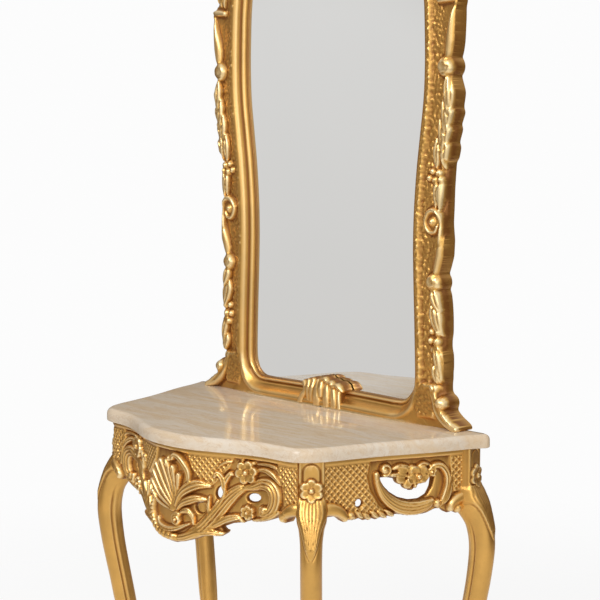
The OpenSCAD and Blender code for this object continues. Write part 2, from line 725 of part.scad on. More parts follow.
module hanger_screws() {
    color("silver") {
        hanger_screw_row(tin_t, 14 + tin_t, 3);
        hanger_screw_row(tin_t + 0.8, 0.8, 6);
    }
}

// Two steel plates behind the marble hold the mirror to the back rail
plate_holes = [-12, 12];
plate_up = rail_h / 2;
plate_low = 34;
plate_top = table_h + plate_up + 12;
plate_bottom = carcass_z - plate_low - 14;
module plate_screw_hole() rotate([90, 0, 0]) cylinder(d = screw_d, h = screw_l - plate_t);
module plate_screws(d, extra) both_sides()
    for (s = plate_holes, z = [table_h + plate_up, carcass_z - plate_low])
    translate([plate_x + s, back_y + plate_t, z]) rotate([90, 0, 0]) {
        cylinder(d = d, h = extra);
        cylinder(d1 = d * 2, d2 = d, h = plate_t * 0.7);
    }
module joining_plates() {
    color("silver") difference() {
        both_sides() translate([plate_x - plate_w / 2, back_y, plate_bottom])
            cube([plate_w, plate_t, plate_top - plate_bottom]);
        plate_screws(screw_d, plate_t + eps);
    }
}
module joining_screws() color("silver") plate_screws(screw_d, screw_l);

// Carvings on the mirror

module carved(y0, t) translate([0, 0, table_h]) upright(back_y - y0, t) children();
// The ribbed shell on the base rail stands before the opening
shell_ribs = 7;
shell_w = 156;
shell_h = 68;
rib_w = shell_w / shell_ribs;
module base_shell() {
    color(gold) difference() {
        carved(0, frame_t * 1.3) intersection() {
            for (k = [0:shell_ribs - 1]) {
                x = (k - (shell_ribs - 1) / 2) * rib_w;
                h = shell_h - abs(k - (shell_ribs - 1) / 2) * 5 - rib_w * 0.55;
                band([[x * 0.8, 0], [x, h]], rib_w, rib_w * 1.12);
                translate([x, h]) circle(d = rib_w * 1.12);
            }
            translate([-shell_w, 0]) square(2 * shell_w);
        }
        translate([-foot_in, back_y, table_h]) rotate([90, 0, 90]) linear_extrude(2 * foot_in)
            polygon(concat([[eps, -eps]], [for (s = base_section) [-s[1], s[0]]], [[eps, rail_h]]));
        translate([-far / 2, back_y - frame_t * 0.62, table_h + rail_h - eps]) cube([far, far, far]);
    }
}
// A scroll and a leaf swoop on each toe, in front of the foot block
module toe_scrolls() {
    color(gold) both_sides() carved(foot_t, 12) intersection() {
        union() {
            band(curve([[toe_x - 12, 4], [toe_x - 38, 18], [toe_x - 60, 34], [toe_x - 78, 62],
                [toe_x - 80, 88]], 5), 22, 12);
            translate([toe_x - 54, 56]) circle(r = 16);
        }
        foot_outline();
    }
}

// Carved strips on the outer edge
strip_t = frame_t * 0.92;
// The strip's outer line between two places on the frame, n points to a step
module edge_strip(first, last, reach, n) {
    marks = [for (j = [0:(last - first) * n]) first + j / n];
    outer = [for (m = marks) let (i = floor(m), k = min(i + 1, last), t = m - i,
        w = frame_w + lookup((m - first) / (last - first), reach))
        mix(beside(i, w), beside(k, w), t)];
    polygon(concat([for (i = [first:last]) beside(i, frame_w)], flipped(outer)));
}
module stile_carving() {
    color(gold) carved(0, strip_t) edge_strip(side_first, arch_first, stile_reach, 2);
}
arch_end = line_last - 4;
module arch_carvings() {
    color(gold) difference() {
        both_sides() carved(0, strip_t) edge_strip(arch_first, arch_end, arch_reach, 2);
        hanger_pockets();
    }
}

// The crest: a fan of ribs over the crown, between two C scrolls
crown = beside(line_last, frame_w);
crest_ribs = 9;
module crest_shell() {
    color(gold) carved(4, crest_t) difference() {
        union() {
            for (k = [0:crest_ribs - 1]) {
                a = 90 + (k - (crest_ribs - 1) / 2) * 17;
                reach = crest_h * (1 - abs(k - (crest_ribs - 1) / 2) * 0.035) - 11;
                translate(crown) rotate(a) band([[0, 0], [reach, 0]], 8, 24);
                translate(crown + reach * [cos(a), sin(a)]) circle(d = 22);
            }
            translate(crown) circle(r = 34);
        }
        opening_shape(frame_w);
    }
}
// Each scroll springs from the shell, runs down the arch and ends in a volute on the shoulder
scroll_r = 24;
scroll_from = line_last - 5;
scroll_to = arch_first + 9;
module crest_scroll_outline() {
    spine = concat([crown + [46, 22]], [for (i = [scroll_from:-1:scroll_to]) beside(i, frame_w + 26)]);
    band(curve(spine, 2), 40, 20);
    translate(beside(scroll_to, frame_w + 30)) circle(r = scroll_r);
    translate(crown + [70, 40]) circle(r = scroll_r);
}
module crest_scrolls() {
    color(gold) both_sides() difference() {
        carved(4, crest_t * 0.8) difference() {
            crest_scroll_outline();
            opening_shape(frame_w);
        }
        crest_shell();
        arch_carvings();
    }
}

marble_top();
marble_pads();
front_apron();
side_apron();  // side_apron_right
mirror([1, 0, 0]) side_apron();  // side_apron_left
back_rail();
leg(0);  // leg_front_right
mirror([1, 0, 0]) leg(0);  // leg_front_left
leg(1);  // leg_rear_right
mirror([1, 0, 0]) leg(1);  // leg_rear_left
foot_glides();
apron_dowels();
rail_screws();
front_cartouche();
apron_flowers();
hanging_flowers();
leg_rosettes();
knee_brackets();
corner_blocks();
leg_bolts();
bolt_washers();
bolt_nuts();
bearer();  // bearer_right
mirror([1, 0, 0]) bearer();  // bearer_left
bearer_cleats();
cleat_screws();
mirror_base_rail();
mirror_foot();  // mirror_foot_right
mirror([1, 0, 0]) mirror_foot();  // mirror_foot_left
stile();  // mirror_stile_right
mirror([1, 0, 0]) stile();  // mirror_stile_left
arch();  // mirror_arch_right
mirror([1, 0, 0]) arch();  // mirror_arch_left
frame_keys();
mirror_glass();
backing_board();
turn_buttons();
button_screws();
hanger_plates();
hanger_screws();
joining_plates();
joining_screws();
base_shell();
toe_scrolls();
stile_carving();  // stile_carving_right
mirror([1, 0, 0]) stile_carving();  // stile_carving_left
arch_carvings();
crest_shell();
crest_scrolls();
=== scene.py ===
import math
from functools import partial

import bmesh
import bpy
import numpy as np
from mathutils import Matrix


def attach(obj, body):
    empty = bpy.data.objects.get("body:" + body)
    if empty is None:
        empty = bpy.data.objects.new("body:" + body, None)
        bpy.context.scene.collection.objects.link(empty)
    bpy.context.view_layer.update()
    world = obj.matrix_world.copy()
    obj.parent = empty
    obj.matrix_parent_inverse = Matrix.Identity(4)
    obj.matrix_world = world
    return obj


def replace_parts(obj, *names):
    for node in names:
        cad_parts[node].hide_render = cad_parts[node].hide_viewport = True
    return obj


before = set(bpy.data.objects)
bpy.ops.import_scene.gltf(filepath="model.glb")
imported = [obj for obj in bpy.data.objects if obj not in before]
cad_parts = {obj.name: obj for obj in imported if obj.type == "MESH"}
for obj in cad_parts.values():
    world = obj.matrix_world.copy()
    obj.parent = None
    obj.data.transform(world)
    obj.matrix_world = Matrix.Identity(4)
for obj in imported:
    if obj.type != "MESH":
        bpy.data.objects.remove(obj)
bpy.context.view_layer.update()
scene = bpy.context.scene
print("frame loaded:", len(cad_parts), "nodes")

# camera, at the photograph's angle

cameraPlan = {"place": (2.920, -2.5197, 1.509), "turn": 47.65, "tiltDown": 6.46, "lens": 101.94}

cameraData = bpy.data.cameras.new("camera")
cameraData.lens = cameraPlan["lens"]
cameraData.clip_end = 60
camera = bpy.data.objects.new("camera", cameraData)
camera.location = cameraPlan["place"]
camera.rotation_euler = (math.radians(90 - cameraPlan["tiltDown"]), 0, math.radians(cameraPlan["turn"]))
scene.collection.objects.link(camera)
scene.camera = camera

# materials


def addNode(tree, kind, values=None, out=None, **settings):
    # a node with its values or links; with out, that output of it
    node = tree.nodes.new("ShaderNode" + kind)
    for key, value in settings.items():
        setattr(node, key, value)
    for key, value in (values or {}).items():
        if isinstance(value, bpy.types.NodeSocket):
            tree.links.new(value, node.inputs[key])
        else:
            node.inputs[key].default_value = value
    return node if out is None else node.outputs[out]


def feed(tree, inputs, **wires):
    for label, value in wires.items():
        tree.links.new(value, inputs[label.replace("_", " ")])


def calc(tree, operation, first, second=None, **settings):
    values = {0: first} if second is None else {0: first, 1: second}
    return addNode(tree, "Math", values, 0, operation=operation, **settings)


def mixColor(tree, share, first, second):
    return addNode(tree, "Mix", {0: share, 6: first, 7: second}, 2, data_type="RGBA")


def remap(tree, value, low, high, toLow=0.0, toHigh=1.0, **settings):
    return addNode(tree, "MapRange", {"Value": value, "From Min": low, "From Max": high,
                                      "To Min": toLow, "To Max": toHigh}, 0, **settings)


def objectPlace(tree):
    return addNode(tree, "TexCoord", out="Object")


def noise(tree, place, scale, detail, rough=0.5, out="Fac", **more):
    return addNode(tree, "TexNoise", {"Vector": place, "Scale": scale, "Detail": detail, "Roughness": rough,
                                      **more}, out)


def newGroup(name, inputs):
    # inputs are name -> default; every finish gives a colour, a roughness and a height
    group = bpy.data.node_groups.new(name, "ShaderNodeTree")
    kinds = {1: "NodeSocketFloat", 3: "NodeSocketVector", 4: "NodeSocketColor"}
    for label, value in inputs.items():
        socket = group.interface.new_socket(label, in_out="INPUT", socket_type=kinds[np.size(value)])
        socket.default_value = value
    for label, size in (("Color", 4), ("Roughness", 1), ("Height", 1)):
        group.interface.new_socket(label, in_out="OUTPUT", socket_type=kinds[size])
    return group, group.nodes.new("NodeGroupInput").outputs, group.nodes.new("NodeGroupOutput").inputs


def startMaterial(name, **fixed):
    material = bpy.data.materials.new(name)
    material.use_nodes = True
    tree = material.node_tree
    shader = tree.nodes["Principled BSDF"]
    for label, value in fixed.items():
        shader.inputs[label.replace("_", " ")].default_value = value
    return material, tree, shader.inputs


def buildGilding():
    # gold leaf with painted light: a paler painted highlight on the high places, brown-red painted shade in
    # the hollows, and dark rubbed specks
    group, given, result = newGroup("gilding", {
        "Leaf": (0.8, 0.5, 0.16, 1), "Highlight Color": (0.9, 0.7, 0.35, 1), "Shade And Wear Color": (0.3, 0.1, 0.02, 1),
        "Depth": 1.0, "Rubbed": 0.3})
    place = objectPlace(group)
    # the carving's attribute for painted shade and highlight is 0.5 on even ground, 1 in the hollows and 0 on
    # the ridges
    carved = addNode(group, "Attribute", None, "Fac", attribute_name="hollow")
    cloud, speck = noise(group, place, 14, 5, 0.6), noise(group, place, 240, 3, 0.7)
    deep = calc(group, "MULTIPLY", remap(group, carved, 0.5, 0.92), given["Depth"], use_clamp=True)
    tone = remap(group, cloud, 0.35, 0.7, 0.9, 1.08)
    leaf = addNode(group, "VectorMath", {0: given["Leaf"], 1: tone}, 0, operation="MULTIPLY")
    # painted highlight on the ridges
    raised = mixColor(group, remap(group, carved, 0.46, 0.1), leaf, given["Highlight Color"])
    # painted shade in the hollows
    shadedLeaf = mixColor(group, deep, raised, given["Shade And Wear Color"])
    rubbed = calc(group, "MULTIPLY", remap(group, speck, 0.6, 0.75), given["Rubbed"])
    shine = calc(group, "ADD", remap(group, cloud, 0.3, 0.7, 0.27, 0.38), deep)
    feed(group, result, Color=mixColor(group, rubbed, shadedLeaf, given["Shade And Wear Color"]),
         Roughness=remap(group, shine, 0.25, 1.3, 0.30, 0.6), Height=speck)
    return group


def buildGrain():
    # long wood fibres that run along one axis
    group, given, result = newGroup("wood grain", {
        "Light": (0.5, 0.35, 0.2, 1), "Dark": (0.25, 0.15, 0.08, 1), "Along": (1, 12, 12)})
    drawn = addNode(group, "VectorMath", {0: objectPlace(group), 1: given["Along"]}, 0, operation="MULTIPLY")
    pore = noise(group, drawn, 60, 2)
    both = calc(group, "MULTIPLY", noise(group, drawn, 9, 7, 0.62, Distortion=0.6), pore)
    feed(group, result, Color=mixColor(group, remap(group, both, 0.16, 0.36), given["Dark"], given["Light"]),
         Roughness=remap(group, pore, 0.3, 0.7, 0.5, 0.68), Height=both)
    return group


def dress(name, group, bump, values, **fixed):
    # a material whose colour, roughness and grain come from a shared group
    material, tree, inputs = startMaterial(name, **fixed)
    finish = addNode(tree, "Group", values, node_tree=group).outputs
    lift = addNode(tree, "Bump", {"Height": finish["Height"], "Strength": bump[0], "Distance": bump[1]}, 0)
    feed(tree, inputs, Base_Color=finish["Color"], Roughness=finish["Roughness"], Normal=lift)
    return material


def woodMaterial(name, light, dark, along):
    return dress(name, grain, (0.3, 0.0008), {"Light": light, "Dark": dark, "Along": along})


def marbleMaterial():
    # polished cream stone with soft clouds and thin brown veins
    material, tree, inputs = startMaterial("cream marble", IOR=1.52)
    drawn = addNode(tree, "Mapping", {"Vector": objectPlace(tree), "Rotation": (0.1, 0.1, 0.12),
                                      "Scale": (0.55, 2.9, 2.2)}, 0)
    bend = noise(tree, drawn, 3.2, 6, 0.62, "Color")
    swum = addNode(tree, "VectorMath", {0: drawn, 1: bend}, 0, operation="ADD")
    cloud = noise(tree, swum, 5.5, 8, 0.6)
    stone = mixColor(tree, remap(tree, cloud, 0.36, 0.68), (0.75, 0.655, 0.54, 1), (0.70, 0.53, 0.345, 1))
    for scale, rough, width, strength, color in ((7.5, 0.5, 0.03, 0.34, (0.55, 0.36, 0.20, 1)),
                                                 (19, 0.55, 0.035, 0.22, (0.56, 0.40, 0.26, 1))):
        off = calc(tree, "ABSOLUTE", calc(tree, "SUBTRACT", noise(tree, swum, scale, 5, rough), 0.5))
        vein = calc(tree, "MULTIPLY", remap(tree, off, 0.0, width, 1.0, 0.0), strength)
        stone = mixColor(tree, vein, stone, color)
    feed(tree, inputs, Base_Color=stone, Roughness=remap(tree, cloud, 0.3, 0.7, 0.07, 0.11))
    return material


def steelMaterial():
    material, tree, inputs = startMaterial("zinc plated steel", Metallic=1.0)
    flake = addNode(tree, "TexVoronoi", {"Vector": objectPlace(tree), "Scale": 180}, "Color")
    tone = addNode(tree, "SeparateColor", {0: flake}, 0)
    feed(tree, inputs, Roughness=remap(tree, tone, 0, 1, 0.28, 0.42), Base_Color=mixColor(
        tree, remap(tree, tone, 0, 1, 0.1, 0.6), (0.62, 0.62, 0.6, 1), (0.45, 0.46, 0.47, 1)))
    return material


def mirrorMaterial():
    # silvered glass with the faintest bloom
    material, tree, inputs = startMaterial("silvered glass", Metallic=1.0)
    bloom = noise(tree, objectPlace(tree), 3, 2)
    feed(tree, inputs, Base_Color=mixColor(tree, bloom, (0.93, 0.94, 0.94, 1), (0.90, 0.915, 0.91, 1)),
         Roughness=remap(tree, bloom, 0.3, 0.7, 0.0, 0.012))
    return material


def softMaterial(name, color, dark, roughness):
    material, tree, inputs = startMaterial(name)
    dust = noise(tree, objectPlace(tree), 260, 3)
    feed(tree, inputs, Base_Color=mixColor(tree, remap(tree, dust, 0.35, 0.65), dark, color),
         Roughness=remap(tree, dust, 0.3, 0.7, roughness - 0.06, roughness + 0.08))
    return material


# the pale colour is a painted highlight on the ridges; the dark brown is painted shade in the hollows and the
# colour of the dark rubbed specks
gold = dress("antique gold", buildGilding(), (0.12, 0.0006), {
    "Leaf": (0.735, 0.41, 0.10, 1), "Highlight Color": (0.98, 0.74, 0.38, 1),
    "Shade And Wear Color": (0.28, 0.105, 0.018, 1), "Depth": 0.95, "Rubbed": 0.22},
    Metallic=0.88, Coat_Weight=0.35, Coat_Roughness=0.3)
grain = buildGrain()
deal = woodMaterial("planed deal", (0.58, 0.40, 0.22, 1), (0.36, 0.22, 0.11, 1), (1, 12, 12))
dealDeep = woodMaterial("planed deal front to back", (0.58, 0.40, 0.22, 1), (0.36, 0.22, 0.11, 1),
                        (12, 1, 12))
backing = woodMaterial("stained backing board", (0.21, 0.12, 0.06, 1), (0.12, 0.065, 0.03, 1), (10, 10, 1))
marble, mirrorSilver, steel = marbleMaterial(), mirrorMaterial(), steelMaterial()
padding = softMaterial("clear pad", (0.6, 0.58, 0.53, 1), (0.5, 0.48, 0.43, 1), 0.5)
gliding = softMaterial("dark glide", (0.05, 0.045, 0.04, 1), (0.03, 0.027, 0.025, 1), 0.45)
print("materials ready")

# carving tools: everything below is measured in millimetres until a piece is made


def smoothCurve(rows, steps=6):
    p = np.array(rows, float)
    ends = np.vstack([p[:1], p, p[-1:]])
    t = np.linspace(0, 1, steps, endpoint=False)[:, None]
    parts = []
    for i in range(len(p) - 1):
        a, b, c, d = ends[i:i + 4]
        parts.append(b + 0.5 * t * (c - a + t * (2 * a - 5 * b + 4 * c - d + t * (3 * (b - c) + d - a))))
    return np.vstack(parts + [p[-1:]])


def runLength(line):
    return np.concatenate([[0], np.cumsum(np.hypot(*np.diff(line, axis=0).T))])


def trace(at, along, line):
    # both coordinates of a line at the given lengths
    return np.interp(at, along, line[:, 0]), np.interp(at, along, line[:, 1])


def mirrorRows(rows):
    return [(-r[0],) + tuple(r[1:]) for r in rows]


def bothSides():
    # the right-hand side as drawn, then its mirror image: a sign, and what turns rows over
    return (1, lambda rows: rows), (-1, mirrorRows)


def soften(field, rounds):
    for _ in range(rounds):
        f = np.pad(field, 1, mode="edge")
        field = (f[1:-1, 1:-1] * 2 + f[2:, 1:-1] + f[:-2, 1:-1] + f[1:-1, 2:] + f[1:-1, :-2]) / 6
    return field


def outlineReach(points, outline):
    # distance inside a closed outline, negative outside it
    a = np.array(outline, float)
    b = np.roll(a, -1, 0)
    x, y = points[:, 0], points[:, 1]
    best = np.full(len(points), 1e9)
    inside = np.zeros(len(points), bool)
    for (ax, ay), (bx, by) in zip(a, b):
        dx, dy = bx - ax, by - ay
        t = (((x - ax) * dx + (y - ay) * dy) / max(dx * dx + dy * dy, 1e-9)).clip(0, 1)
        best = np.minimum(best, np.hypot(x - ax - t * dx, y - ay - t * dy))
        if ay != by:
            inside ^= ((ay > y) != (by > y)) & (x < (bx - ax) * (y - ay) / (by - ay) + ax)
    return np.where(inside, best, -best)


def grid(first, second, cell):
    xs = np.arange(first[0], first[1] + cell * 0.5, cell)
    ys = np.arange(second[0], second[1] + cell * 0.5, cell)
    return np.stack(np.meshgrid(xs, ys), -1)


class Relief:
    # a sheet of points worked like a carver's board: pos is where each lies, high how far it stands out,
    # wood how far it is inside the timber, and pale how much painted highlight it gets (below zero, painted
    # shade)
    def __init__(self, pos, high=0.0):
        self.pos, size = pos, pos.shape[:2]
        self.high = np.zeros(size) + high
        self.wood = np.full(size, -50.0)
        self.pale = np.zeros(size)
        self.openings = []

    def near(self, xy, margin):
        xy = np.asarray(xy, float).reshape(-1, 2)
        low, top = xy.min(0) - margin, xy.max(0) + margin
        return np.nonzero(((self.pos > low) & (self.pos < top)).all(-1))

    def widen(self, at, reach):
        self.wood[at] = np.maximum(self.wood[at], reach)

    def board(self, outline):
        at = self.near(outline, 20)
        self.widen(at, outlineReach(self.pos[at], outline))

    def pierce(self, outline):
        # cuts an opening whose edge dips a little
        dip, slope = 2.5, 6
        self.openings.append(np.mean(outline, 0))
        at = self.near(outline, 20)
        reach = outlineReach(self.pos[at], outline)
        self.wood[at] = np.minimum(self.wood[at], -reach)
        self.high[at] -= dip * (1 + reach / slope).clip(0, 1) ** 2

    def thinned(self, full, least, spread):
        # the back is cut away round the openings
        return lambda pos: full + (least - full) * np.max(
            [1 - (np.hypot(*(pos - spot).T) / spread).clip(0, 1) ** 3 for spot in self.openings], 0)

    def hole(self, x, y, rx, ry, lean=0):
        c, s = math.cos(math.radians(lean)), math.sin(math.radians(lean))
        oval = [(rx * math.cos(t), ry * math.sin(t)) for t in np.radians(np.arange(0, 360, 15))]
        self.pierce([(x + a * c - b * s, y + a * s + b * c) for a, b in oval])

    def level(self, outline, high, soft=3):
        at = self.near(outline, soft)
        share = (outlineReach(self.pos[at], outline) / soft + 0.5).clip(0, 1)
        self.high[at] += (high - self.high[at]) * share

    def stroke(self, rows, base=0.0, flutes=0, cut=0.35, beads=0, shape=2.6, groove=1.6, timber=True,
               power=0.6, pale=0.0):
        # rows of x, y, half width, height: one cut of the gouge, round or fluted along its length
        path = smoothCurve(rows)
        at = self.near(path[:, :2], path[:, 2].max() + 4)
        p = self.pos[at]
        if not len(p):
            return
        a, b = path[:-1], path[1:]
        run = b[:, :2] - a[:, :2]
        toStart = p[:, None] - a[:, :2]
        t = ((toStart * run).sum(-1) / np.maximum((run ** 2).sum(-1), 1e-9)).clip(0, 1)
        gap = toStart - t[..., None] * run
        away = np.hypot(gap[..., 0], gap[..., 1])
        wide = np.maximum(a[:, 2] + t * (b[:, 2] - a[:, 2]), 0.2)
        k = (away - wide).argmin(1)
        pick = (np.arange(len(k)), k)
        away, wide, t, gap = away[pick], wide[pick], t[pick], gap[pick]
        x = np.sign(run[k, 0] * gap[:, 1] - run[k, 1] * gap[:, 0]) * away / wide
        tall = a[k, 3] + t * (b[k, 3] - a[k, 3])
        bulge = (1 - np.abs(x).clip(0, 1) ** shape) ** 0.5
        if flutes:
            bulge *= 1 - cut + cut * np.abs(np.sin(math.pi * flutes * (x + 1) / 2)) ** power
        if beads:
            bulge *= 0.72 + 0.28 * np.abs(np.sin(math.pi * beads * (k + t) / len(a))) ** 0.5
        beyond = away - wide
        high = self.high[at]
        ditch = np.where(beyond > 0, groove * (1 - beyond / 3.0).clip(0, 1), 0)
        high = np.where((ditch > 0) & (high > base - 1), high - ditch, high)
        self.high[at] = np.where(np.abs(x) < 1, np.maximum(high, base + tall * bulge), high)
        # pale paints a highlight on the stroke's crown and a little painted shade at its edges
        self.pale[at] = np.where(np.abs(x) < 1, pale * (1.3 * bulge - 0.3), self.pale[at])
        if timber:
            self.widen(at, -beyond)

    def boss(self, x, y, r, tall, base=0.0, timber=True, shape=2.0, pale=0.0):
        # a dome with a shallow ditch round it
        at = self.near([(x, y)], r + 4)
        d = np.hypot(self.pos[at][:, 0] - x, self.pos[at][:, 1] - y)
        dome = base + tall * (1 - (d / r).clip(0, 1) ** shape) ** 0.5
        high = self.high[at]
        high = np.where((d > r) & (d < r + 3) & (high > base), high - 1.5 * (1 - (d - r) / 3), high)
        self.high[at] = np.where(d < r, np.maximum(high, dome), high)
        # pale paints an even highlight over the dome
        self.pale[at] = np.where(d < r, pale, self.pale[at])
        if timber:
            self.widen(at, r - d)

    def blossom(self, x, y, r, tall, base=0.0, petals=6, turn=0.0):
        # dished petals round a heart
        for i in range(petals):
            a = math.radians(turn + 360 * i / petals)
            px, py = x + 0.6 * r * math.cos(a), y + 0.6 * r * math.sin(a)
            pr = r * (0.41 if petals > 5 else 0.46)
            at = self.near([(px, py)], pr + 3)
            off = self.pos[at] - (px, py)
            d = np.hypot(off[:, 0], off[:, 1]) / pr
            out = (off[:, 0] * math.cos(a) + off[:, 1] * math.sin(a)) / pr
            dish = (1 - d.clip(0, 1) ** 6) ** 0.5 * (0.62 + 0.3 * d ** 2 + 0.08 * out)
            high = self.high[at]
            high = np.where((d > 1) & (d < 1.2), high - 1.2, high)
            self.high[at] = np.where(d < 1, np.maximum(high, base + tall * dish), high)
            self.widen(at, (1 - d) * pr)
        self.boss(x, y, r * 0.25, tall * 0.55, base + tall * 0.6)

    def volute(self, x, y, r, tall, base=0.0, start=0.0, turns=1.3, way=1):
        # a band that winds in to a round eye
        rows, steps, wide = [], int(turns * 10), 0.3
        for i in range(steps + 1):
            f = i / steps
            a = math.radians(start) + way * 2 * math.pi * turns * f
            reach = r * (1 - 0.62 * f) * (1 - wide * 0.9)
            rows.append((x + reach * math.cos(a), y + reach * math.sin(a), r * wide * (1 - 0.45 * f),
                         tall * (0.75 + 0.25 * f)))
        self.stroke(rows, base, groove=2.0)
        self.boss(x, y, r * 0.27, tall * 0.9, base + tall * 0.2)

    def lattice(self, outline):
        # raised threads crossing in both diagonals, with a small nub in every diamond
        pitch, tall, base, thread = 10.5, 3.8, -1.2, 1.5
        at = self.near(outline, 2)
        p = self.pos[at]
        share = (outlineReach(p, outline) / 2).clip(0, 1)
        best, waves = np.zeros(len(p)), []
        for sign in (1, -1):
            q = (p[:, 0] + sign * p[:, 1]) / (pitch * math.hypot(1, 1))
            off = np.abs(q - np.round(q)) * pitch
            waves.append(np.cos(2 * math.pi * q))
            best = np.maximum(best, (1 - (off / thread).clip(0, 1) ** 2) ** 0.5)
        nub = 0.3 * ((1 - waves[0]) * (1 - waves[1]) / 4) ** 3
        self.high[at] += share * (base + tall * np.maximum(best, nub) - self.high[at])

    def lace(self, outline, pitch, tall):
        # small florets strewn close together, no two alike, over a sunk ground with painted shade
        chance = np.random.default_rng(3)
        at = self.near(outline, 2)
        share = (outlineReach(self.pos[at], outline) / 2.5).clip(0, 1)
        self.high[at] -= 0.35 * tall * share
        # painted shade on the sunk ground between the florets
        self.pale[at] -= 0.10 * share
        low, top = np.min(outline, 0), np.max(outline, 0)
        spots = grid((low[0], top[0]), (low[1], top[1]), pitch)
        spots[::2, :, 0] += pitch / 2
        spots = (spots + chance.uniform(-0.3, 0.3, spots.shape) * pitch).reshape(-1, 2)
        for x, y in spots[outlineReach(spots, outline) > 1]:
            r, up = pitch * chance.uniform(0.42, 0.72), tall * chance.uniform(0.6, 1.1)
            turn = chance.uniform(0, 6.28)
            at = self.near([(x, y)], r)
            off = self.pos[at] - (x, y)
            d, a = np.hypot(off[:, 0], off[:, 1]) / r, np.arctan2(off[:, 1], off[:, 0]) + turn
            d = d * (1 + 0.16 * np.cos(5 * a))
            petal = (1 - d.clip(0, 1) ** 3) ** 0.5 * (0.7 + 0.3 * (d / 0.4).clip(0, 1))
            self.high[at] = np.where(d < 1, self.high[at] + up * petal * 0.8, self.high[at])

    def roundRim(self, size, drop):
        self.high -= drop * (1 - self.wood / size).clip(0, 1) ** 2.2


def finishPiece(name, points, faces, material, hollow=None, thin=1.0, sharp=48, kept=None):
    mesh = bpy.data.meshes.new(name)
    mesh.from_pydata((np.asarray(points) * 0.001).tolist(), [], [list(map(int, f)) for f in faces])
    if hollow is not None:
        shade = mesh.attributes.new("hollow", "FLOAT", "POINT").data
        shade.foreach_set("value", np.asarray(hollow, np.float32).ravel())
    work = bmesh.new()
    work.from_mesh(mesh)
    bmesh.ops.recalc_face_normals(work, faces=work.faces)
    work.to_mesh(mesh)
    work.free()
    piece = bpy.data.objects.new(name, mesh)
    scene.collection.objects.link(piece)
    if thin < 1:
        thinning = piece.modifiers.new("thin", "DECIMATE")
        thinning.ratio = thin
        if kept is not None:
            piece.vertex_groups.new(name="thinned").add(np.nonzero(~kept)[0].tolist(), 1.0, "REPLACE")
            thinning.vertex_group = "thinned"
        lighter = bpy.data.meshes.new_from_object(piece.evaluated_get(bpy.context.evaluated_depsgraph_get()))
        piece.modifiers.clear()
        piece.vertex_groups.clear()
        piece.data = lighter
        lighter.name = name
    piece.data.polygons.foreach_set("use_smooth", [True] * len(piece.data.polygons))
    piece.data.set_sharp_from_angle(angle=math.radians(sharp))
    piece.data.materials.clear()
    piece.data.materials.append(material)
    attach(piece, "root")
    print(name, len(piece.data.polygons), "faces")
    return piece


def hollowOf(high, wide, deep):
    # 0.5 where a place is level with its surroundings, 1 where it lies deep and 0 where it stands high; this
    # sets the gilding's painted shade and painted highlight
    return (0.5 + 0.5 * ((soften(high, wide) - high) / deep + 0.06)).clip(0, 1)


def fourSum(field):
    return field[:-1, :-1] + field[1:, :-1] + field[:-1, 1:] + field[1:, 1:]


def timberOf(wood):
    # the cells that hold timber, and how many of them meet at each point
    keep = fourSum(wood) > 0
    return keep, fourSum(np.pad(keep.astype(int), 1))


def carvePiece(name, relief, place, backAt, thin, deep=2.9, sanding=3):
    # closes a relief with a back and with walls round its outline and its holes
    wood, high = relief.wood, relief.high
    rows, cols = wood.shape
    keep, about = timberOf(wood)
    used = about > 0
    count = int(used.sum())
    rim = used & (about < fourSum(np.pad(np.ones(keep.shape, int), 1)))
    # points on the rim move to where the timber ends
    slopes = np.gradient(wood)
    size = np.maximum(slopes[0] ** 2 + slopes[1] ** 2, 1e-6)
    pos = relief.pos + sum(np.where(rim, (-wood * slope / size).clip(-0.7, 0.7), 0)[..., None]
                           * np.gradient(relief.pos, axis=axis) for axis, slope in enumerate(slopes))
    number = np.full(wood.shape, -1)
    number[used] = np.arange(count)
    i, j = np.nonzero(keep)
    quad = np.stack([number[i, j], number[i, j + 1], number[i + 1, j + 1], number[i + 1, j]], 1)
    solid = np.pad(keep, 1)
    walls = []
    for di, dj, a, b in ((-1, 0, (0, 0), (0, 1)), (1, 0, (1, 1), (1, 0)),
                         (0, -1, (1, 0), (0, 0)), (0, 1, (0, 1), (1, 1))):
        wi, wj = np.nonzero(keep & ~solid[1 + di:rows + di, 1 + dj:cols + dj])
        first, second = number[wi + a[0], wj + a[1]], number[wi + b[0], wj + b[1]]
        walls.append(np.stack([second, first, first + count, second + count], 1))
    faces = np.vstack([quad, quad[:, ::-1] + count] + walls)
    # the cut edges are sanded smooth
    flat = pos[used]
    ends = np.vstack(walls)[:, :2]
    for _ in range(sanding):
        total, near = np.zeros((count, 2)), np.zeros(count)
        for one, other in (ends.T, ends.T[::-1]):
            np.add.at(total, one, flat[other])
            np.add.at(near, one, 1)
        edge = near > 0
        flat[edge] += 0.5 * (total[edge] / near[edge, None] - flat[edge])
    front = place(flat, high[used])
    back = place(flat, backAt(flat) if callable(backAt) else np.full(count, float(backAt)))
    # painted shading: shade where the relief lies low, highlight where it stands high or pale is given; the
    # back is set a little into the painted shade
    hollow = (hollowOf(np.where(used, high, high[used].mean()), 12, deep) - relief.pale)[used].clip(0, 1)
    return finishPiece(name, np.vstack([front, back]), faces, gold,
                       np.concatenate([hollow, np.full(count, 0.62)]), thin, kept=np.tile(near > 0, 2))


# the table's plan: the marble edge, by its length from the middle of the front

